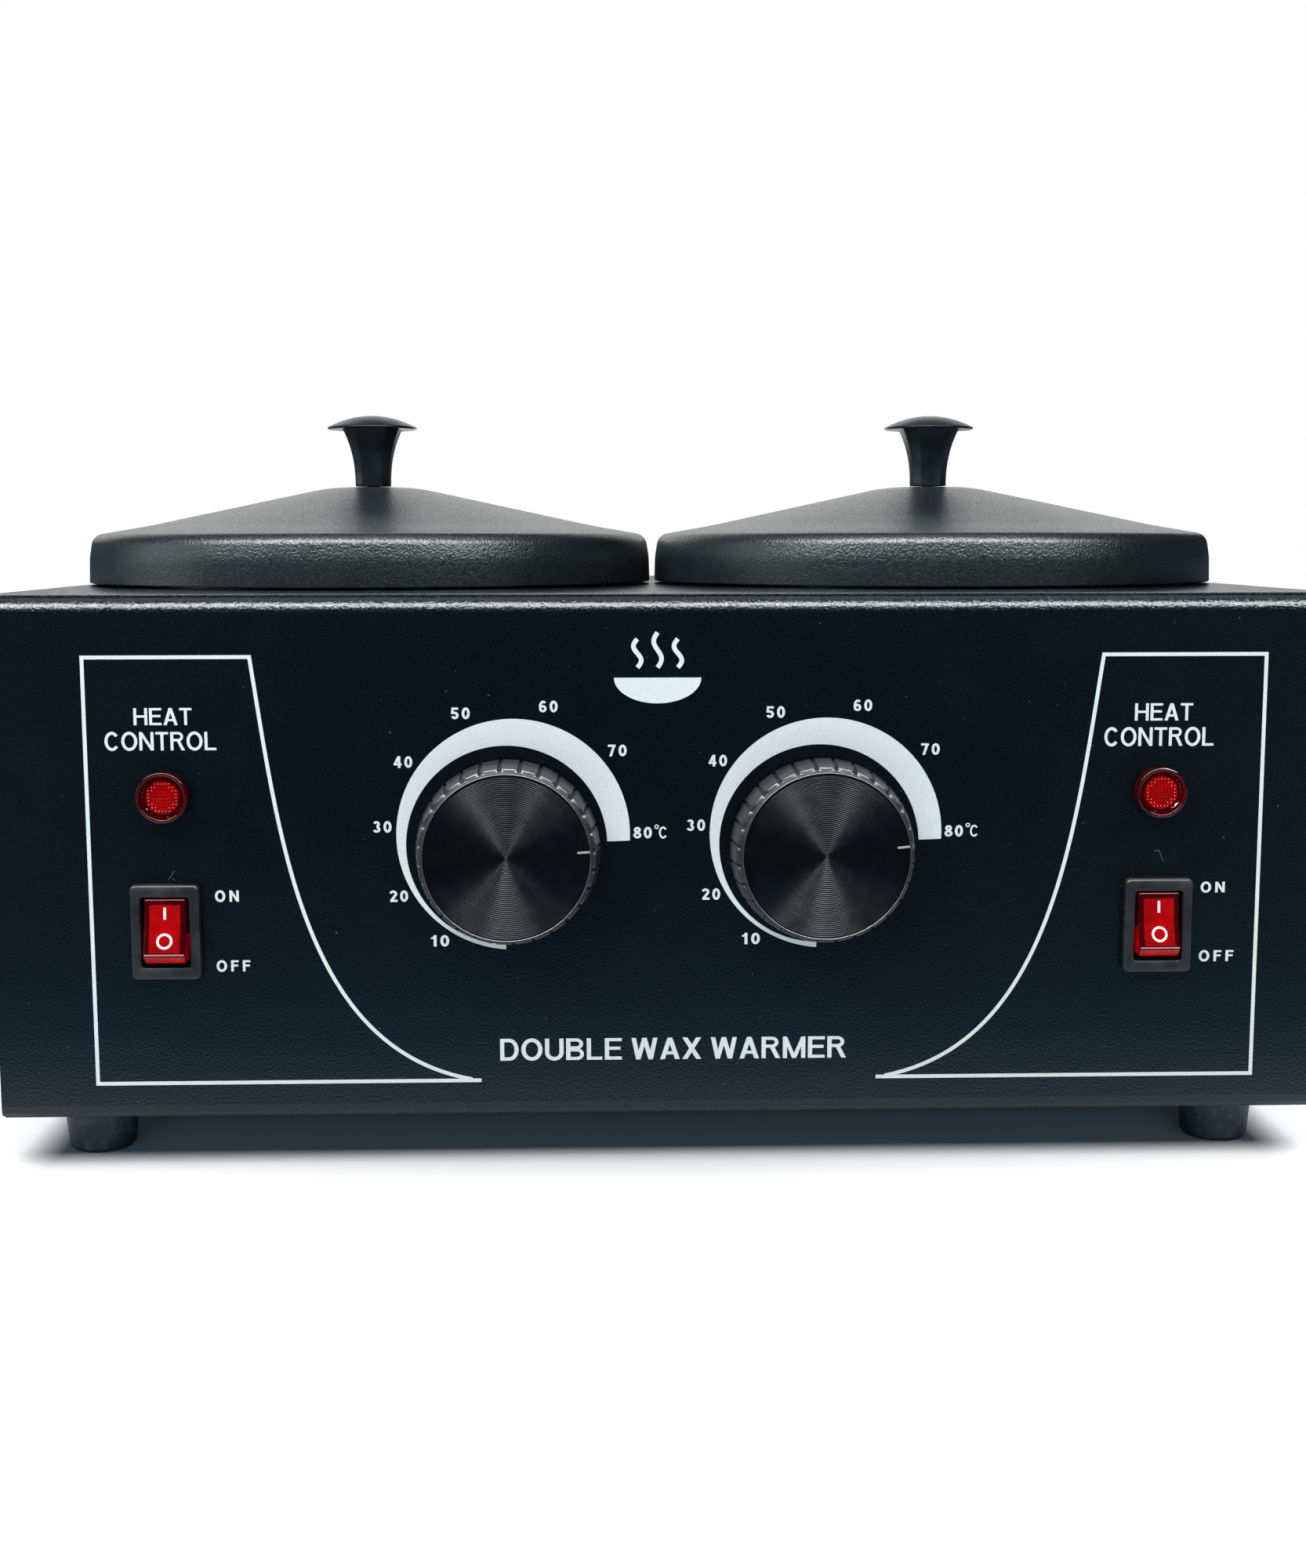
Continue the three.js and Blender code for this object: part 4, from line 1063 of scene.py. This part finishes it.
def figure(sign, t):
    """The tiles of one figure."""
    width, m = WIDTHS[sign], t / 2
    if sign == "0":
        return stroke(arc(0.29, 0.5, 0.29 - m, 0.5 - m, 0, 345, 23), t, closed=True)
    if sign == "1":
        return upright_bar(0.3, t) + stroke([(0.04, 0.72), (0.2, 0.76), (0.3, 0.96)], t * 0.8)
    if sign == "2":
        path = arc(0.29, 0.7, 0.28 - m, 0.3 - m, 170, -35) + [(m * 1.3, m)]
        return stroke(path, t) + level_bar(m, t, m * 0.6, width)
    if sign == "3":
        upper = arc(0.28, 0.735, 0.25 - m, 0.265 - m, 160, -90, 12)
        lower = arc(0.28, 0.28, 0.28 - m, 0.28 - m, 90, -165, 14)
        return stroke(upper, t * 0.95) + stroke(lower, t * 0.95)
    if sign == "4":
        return upright_bar(0.42, t) + level_bar(0.3, t * 0.85, 0.02, width) + slant(0.1, 0.3, 0.4, 1, t)
    if sign == "5":
        bowl = arc(0.28, 0.32, 0.28 - m, 0.32 - m, 128, -160)
        return level_bar(1 - m, t, 0.1, 0.54) + slant(0.09, 0.46, 0.14, 1, t * 0.85) + stroke(bowl, t)
    if sign == "6":
        ring = stroke(arc(0.29, 0.31, 0.28 - m, 0.31 - m, 0, 342, 19), t * 0.95, closed=True)
        return ring + stroke(arc(0.31, 0.47, 0.3 - m, 0.53 - m, 190, 48), t * 0.95)
    if sign == "7":
        return level_bar(1 - m, t, 0, width) + slant(0.19, 0, 0.44, 1 - m, t)
    upper = stroke(arc(0.29, 0.74, 0.25 - m, 0.26 - m, 0, 340, 17), t * 0.95, closed=True)
    return upper + stroke(arc(0.29, 0.28, 0.29 - m, 0.28 - m, 0, 340, 17), t * 0.95, closed=True)


def words(text, left, right, bottom, top, weight=0.155, spacing=0.1):
    """Tiles of a line of text fitted between two sides and two heights on the panel."""
    tiles, x = [], 0.0
    for sign in text:
        if sign == " ":
            x += 0.27
            continue
        tiles += [[(x + px, py) for px, py in tile] for tile in letter(sign, weight)]
        x += WIDTHS[sign] + spacing
    across = (right - left) / (x - spacing)
    return [[(left + px * across, bottom + py * (top - bottom)) for px, py in tile] for tile in tiles]


FRAME_CENTRE = 3.1
FRAME_OUTER = 128.65
FRAME_TOP = 113.25
FRAME_BOTTOM = 18.95
FRAME_CURVE = [(92.8, 113.25), (87.4, 74), (83.4, 26.4), (46, 19.2)]
LINE_WIDTH = 0.82


def panel_frame(way):
    """The printed border round a switch and its lamp: three straight sides and a sweeping curve."""
    half = LINE_WIDTH / 2
    lines = [
        [(92.4, FRAME_TOP), (FRAME_OUTER + half, FRAME_TOP)],
        [(FRAME_OUTER, FRAME_BOTTOM), (FRAME_OUTER, FRAME_TOP)],
        [(44, FRAME_BOTTOM), (FRAME_OUTER + half, FRAME_BOTTOM)],
        interpolate_bezier(*[Vector(point) for point in FRAME_CURVE], 49),
    ]
    tiles = []
    for line in lines:
        tiles += stroke([(FRAME_CENTRE + way * x, z) for x, z in line], LINE_WIDTH)
    return tiles


def dial_crescent(axis_x):
    """The swelling ring round a knob, between two circles whose centres differ."""
    inner_centre, inner_radius = Vector((axis_x - 0.4, 71.8)), 22.0
    outer_centre, outer_radius = Vector((axis_x + 1.05, 74.1)), 25.55
    start, end, steps = 2, 269, 90
    rims = []
    for step in range(steps + 1):
        angle = radians(start + (end - start) * step / steps)
        ray = Vector((cos(angle), sin(angle)))
        offset = inner_centre - outer_centre
        along = ray.dot(offset)
        reach = -along + sqrt(along ** 2 - offset.length_squared + outer_radius ** 2)
        rims.append((inner_centre + ray * inner_radius, inner_centre + ray * reach))
    return [[a[0], a[1], b[1], b[0]] for a, b in zip(rims, rims[1:])]


DIAL_ANGLES = {"10": 234.7, "20": 208, "30": 176.5, "40": 146.5, "50": 113.5, "60": 75, "70": 39.2}


def dial_prints(axis_x):
    """The crescent with its temperatures from 10 to 80 degrees."""
    tiles = dial_crescent(axis_x)
    centre = Vector((axis_x + 1.4, 74.3))
    width, height = 4.1, 2.55
    for value, degrees in DIAL_ANGLES.items():
        angle = radians(degrees)
        spot = centre + Vector((cos(angle), sin(angle))) * 29.0
        tiles += words(value, spot.x - width / 2, spot.x + width / 2,
                       spot.y - height / 2, spot.y + height / 2, weight=0.19, spacing=0.2)
    left, bottom = axis_x + 27.3, 73.2
    tiles += words("80", left, left + 4.1, bottom, bottom + height, weight=0.19, spacing=0.16)
    tiles += words("C", left + 5.65, left + 7.5, bottom, bottom + height, weight=0.16)
    return tiles + stroke(arc(left + 5.15, bottom + height, 0.38, 0.38, 0, 330, 11), 0.24, closed=True)


def warmth_symbol(centre_x, centre_z):
    """A plain sign for a warm pot: three rising waves over a shallow bowl."""
    tiles = []
    for step in (-1, 0, 1):
        height = 7.6 if step == 0 else 6.2
        path = []
        for k in range(25):
            t = k / 24
            path.append((centre_x + step * 4.4 + 0.85 * sin(TAU * t), centre_z + 0.2 + height * t))
        tiles += stroke(path, 1.0)
    rim, depth = 9.5, 5.6
    bowl = arc(centre_x, centre_z - 2.0, rim, depth, 180, 360, 32)
    return tiles + [bowl]


CAPTIONS = (  # print, text, left, right, bottom, top
    ("left", "HEAT", -114.9, -102.4, 98.6, 102.3), ("left", "CONTROL", -121.3, -97.3, 93.1, 97.1),
    ("right", "HEAT", 103.1, 115.9, 98.7, 102.5), ("right", "CONTROL", 96.5, 120.7, 93.1, 97.2),
)
SWITCH_WORDS = (
    ("left", "ON", -98.6, -93.4, 59.7, 62.2), ("left", "OFF", -98.7, -91.3, 44.1, 46.6),
    ("right", "ON", 119.0, 124.4, 60.3, 62.7), ("right", "OFF", 119.1, 126.9, 44.7, 47.2),
)


def make_prints():
    groups = {"dials": [], "left": panel_frame(-1), "right": panel_frame(1)}
    for side in SIDES:
        groups["dials"] += dial_prints(middle(f"control_knob_{side}").x / MM)
    for group, text, left, right, bottom, top in CAPTIONS:
        groups[group] += words(text, left, right, bottom, top)
    for group, text, left, right, bottom, top in SWITCH_WORDS:
        groups[group] += words(text, left, right, bottom, top, weight=0.2, spacing=0.32)
    groups["middle"] = warmth_symbol(-1.6, 110.5)
    groups["middle"] += words("DOUBLE WAX WARMER", -36.7, 40.4, 23.4, 28.3, weight=0.165)
    for name, tiles in groups.items():
        finish_piece(ink(f"print_{name}", tiles), print_white, "housing")
    scratches = stroke([(-108.6, 64.6), (-107.9, 65.6), (-107.2, 66.6)], 0.14)
    scratches += stroke([(-107.6, 64.9), (-107.1, 64.5)], 0.12)
    scratches += stroke([(108.3, 69.6), (109.3, 69.9), (109.6, 69.4), (110.2, 67.9), (110.6, 67.4)], 0.12)
    finish_piece(ink("coat_scratches", scratches), scratch_grey, "housing")


# ---- the making

def make_case():
    make_cover()
    for node in ("side_panel_left", "side_panel_right", "base_pan"):
        soften_cad(node, case_coat)
    for spot in ("front_left", "front_right", "back_left", "back_right"):
        make_foot(spot)
        make_screw(f"foot_bolt_{spot}", f"foot_screw_{spot}", "housing", 3.1, 1.9, 11.9)
    for side in SIDES:
        for level in ("lower", "upper"):
            make_screw(f"back_screw_{level}_{side}", f"cover_screw_{level}_{side}", "housing",
                       3.1, 1.9, 7.9, on_back=True)
    make_gland()


def make_side(side):
    for make in (make_well, make_pot, make_lid, make_lid_knob):
        make(side)
    make_screw(f"handle_screw_{side}", f"lid_screw_{side}", f"lid_{side}", 3.5, 1.8, 10.4)
    for make in (make_control_knob, make_knob_face, make_lamp, make_switch_body, make_rocker):
        make(side)


def dress_inner_pieces():
    """The pieces inside the case keep their CAD shapes and get their own finishes."""
    soften_cad("terminal_block", ceramic)
    fine, soft, round_edge = 0.15, 0.8, 0.3
    leads = [
        (kind, lead_sleeve, "lead_sleeve", round_edge)
        for kind in ("supply_lead", "switch_lead", "heater_lead")
    ]
    looks = (
        ("heater_band", heater_steel, "heater_steel", fine), ("insulation", glass_wool, "glass_wool", soft),
        ("thermostat", inner_plastic, "black_plastic", fine),
        ("thermostat_shaft", zinc_steel, "zinc_steel", fine),
        ("sensing_bulb", brass_parts, "brass_parts", fine),
        ("lamp_body", inner_plastic, "black_plastic", fine), ("lamp_nut", zinc_steel, "zinc_steel", fine),
        *leads,
    )
    for side in SIDES:
        for node, material, slot, width in looks:
            soften_cad(f"{node}_{side}", material, width)


make_case()
for side in SIDES:
    make_side(side)
dress_inner_pieces()
make_prints()


# ---- floor, light and view

def make_floor():
    """A white floor whose mirror image in the case is a painted reflection: dimmer, bluish and fading away
    from the case, with a bright band close in front of it and dim grey beside it.
    """
    corners = [(-4000, -3000, 0), (4000, -3000, 0), (4000, 5000, 0), (-4000, 5000, 0)]
    floor = shape_object("floor", (corners, [(0, 1, 2, 3)]), TO_METRES)
    white = (0.9, 0.9, 0.9)
    finish = Finish("floor_paint", white, 0.7)
    split = finish.node("SeparateXYZ", vector=finish.place)
    ahead = split.outputs["Y"]
    # painted reflection, seen only by glossy rays: bluish near the case, fading to dark further out
    fade = finish.ranged(ahead, FRONT_Y - 0.21, FRONT_Y - 0.04)
    painted_reflection = finish.blended(fade, (0.001, 0.005, 0.009), (0.13, 0.34, 0.56))
    # painted reflection: a bright band close in front of the case, which lights the cover's rounded lower
    # edge
    edge = finish.ranged(ahead, FRONT_Y - 0.07, FRONT_Y - 0.03)
    painted_reflection = finish.blended(edge, painted_reflection, (0.9, 0.95, 0.95))
    # painted reflection: dim grey beside the case's ends
    sideways = finish.calculated("Math", "ABSOLUTE", split.outputs["X"])
    beside = finish.ranged(sideways, CASE_SIDE + 0.08, CASE_SIDE + 0.2)
    painted_reflection = finish.blended(beside, painted_reflection, (0.1, 0.14, 0.17))
    ray = finish.node("LightPath").outputs
    reach = finish.calculated("VectorMath", "LENGTH", finish.place)
    glow = finish.calculated("Math", "MULTIPLY", finish.ranged(reach, 1.0, 1.8), ray["Is Camera Ray"])
    finish.set(
        base_color=finish.blended(ray["Is Glossy Ray"], white, painted_reflection),
        emission_strength=glow, emission_color=(1, 1, 1, 1),
    )
    floor.data.materials.append(finish.material)
    return floor


def make_world():
    """White behind the object, and a much dimmer room for everything it reflects."""
    world = bpy.data.worlds.new("studio")
    bpy.context.scene.world = world
    world.use_nodes = True
    nodes, links = world.node_tree.nodes, world.node_tree.links
    nodes.clear()
    kinds = ("OutputWorld", "MixShader", "LightPath")
    output, mix, ray = (nodes.new(f"ShaderNode{kind}") for kind in kinds)
    links.new(ray.outputs["Is Camera Ray"], mix.inputs["Fac"])
    for index, colour, strength in ((1, (0.4, 0.7, 1.0, 1), 0.05), (2, (1, 1, 1, 1), 1.0)):
        room = nodes.new("ShaderNodeBackground")
        room.inputs["Color"].default_value = colour
        room.inputs["Strength"].default_value = strength
        links.new(room.outputs["Background"], mix.inputs[index])
    links.new(mix.outputs["Shader"], output.inputs["Surface"])


def area_light(name, place, target, width, height, power, colour=(1, 1, 1)):
    data = bpy.data.lights.new(name, "AREA")
    data.shape = "RECTANGLE"
    data.size, data.size_y = width, height
    data.energy = power
    data.color = colour
    light = bpy.data.objects.new(name, data)
    bpy.context.scene.collection.objects.link(light)
    light.location = place
    light.rotation_euler = (Vector(target) - Vector(place)).to_track_quat("-Z", "Y").to_euler()
    return light


def link_light(light, pieces, state):
    """Keeps a light to some objects (INCLUDE) or off them (EXCLUDE)."""
    group = bpy.data.collections.new(f"{light.name}_link")
    for number, piece in enumerate(pieces):
        group.objects.link(piece)
        group.collection_objects[number].light_linking.link_state = state
    light.light_linking.receiver_collection = group


def make_lights(floor):
    key = area_light("key", (-0.75, -0.85, 1.4), (0, -0.05, 0.1), 1.5, 0.8, 48)
    key.visible_glossy = False
    gloss = area_light("gloss", (-0.1, -1.02, 1.28), (0, -0.1, 0.1), 3.6, 0.32, 172)
    gloss.visible_diffuse = False
    overhead = area_light("overhead", (0.0, 0.0, 1.4), (0, -0.1, 0.1), 1.6, 0.5, 5)
    wall = area_light("back_wall", (-0.3, 2.6, 1.2), (0, 0, 0.1), 3.8, 1.45, 22, (1.0, 1.0, 0.97))
    end = area_light("side", (-2.2, -0.15, 0.5), (0, 0, 0.12), 1.2, 0.7, 7)
    for light in (key, gloss, overhead, wall, end):
        link_light(light, [floor], "EXCLUDE")
    link_light(area_light("floor_light", (0, 0.2, 2.6), (0, 0.2, 0), 5.0, 5.0, 300), [floor], "INCLUDE")
    low = area_light("low_fill", (0, -1.0, 0.2), (0, 0.05, 0), 1.4, 0.3, 2.0, (0.5, 0.75, 1.0))
    low.visible_glossy = False
    feet = [bpy.data.objects[f"rubber_foot_front_{side}"] for side in SIDES]
    link_light(low, [floor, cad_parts["base_pan"]] + feet, "INCLUDE")


def make_camera():
    """The camera: close in front of the panel, a little left of the middle and looking down."""
    data = bpy.data.cameras.new("camera")
    data.lens = 43.87
    data.sensor_width = 36
    data.clip_start, data.clip_end = 0.01, 50
    camera = bpy.data.objects.new("camera", data)
    bpy.context.scene.collection.objects.link(camera)
    yaw, pitch, roll = radians(1.64), radians(7.34), radians(-0.08)
    camera.matrix_world = (
        Matrix.Translation((-0.0145, FRONT_Y - 0.41425, 0.1386)) @ Matrix.Rotation(-yaw, 4, "Z")
        @ Matrix.Rotation(pi / 2 - pitch, 4, "X") @ Matrix.Rotation(roll, 4, "Z")
    )
    bpy.context.scene.camera = camera


make_world()
make_lights(make_floor())
make_camera()
bpy.context.scene.view_settings.view_transform = "Standard"
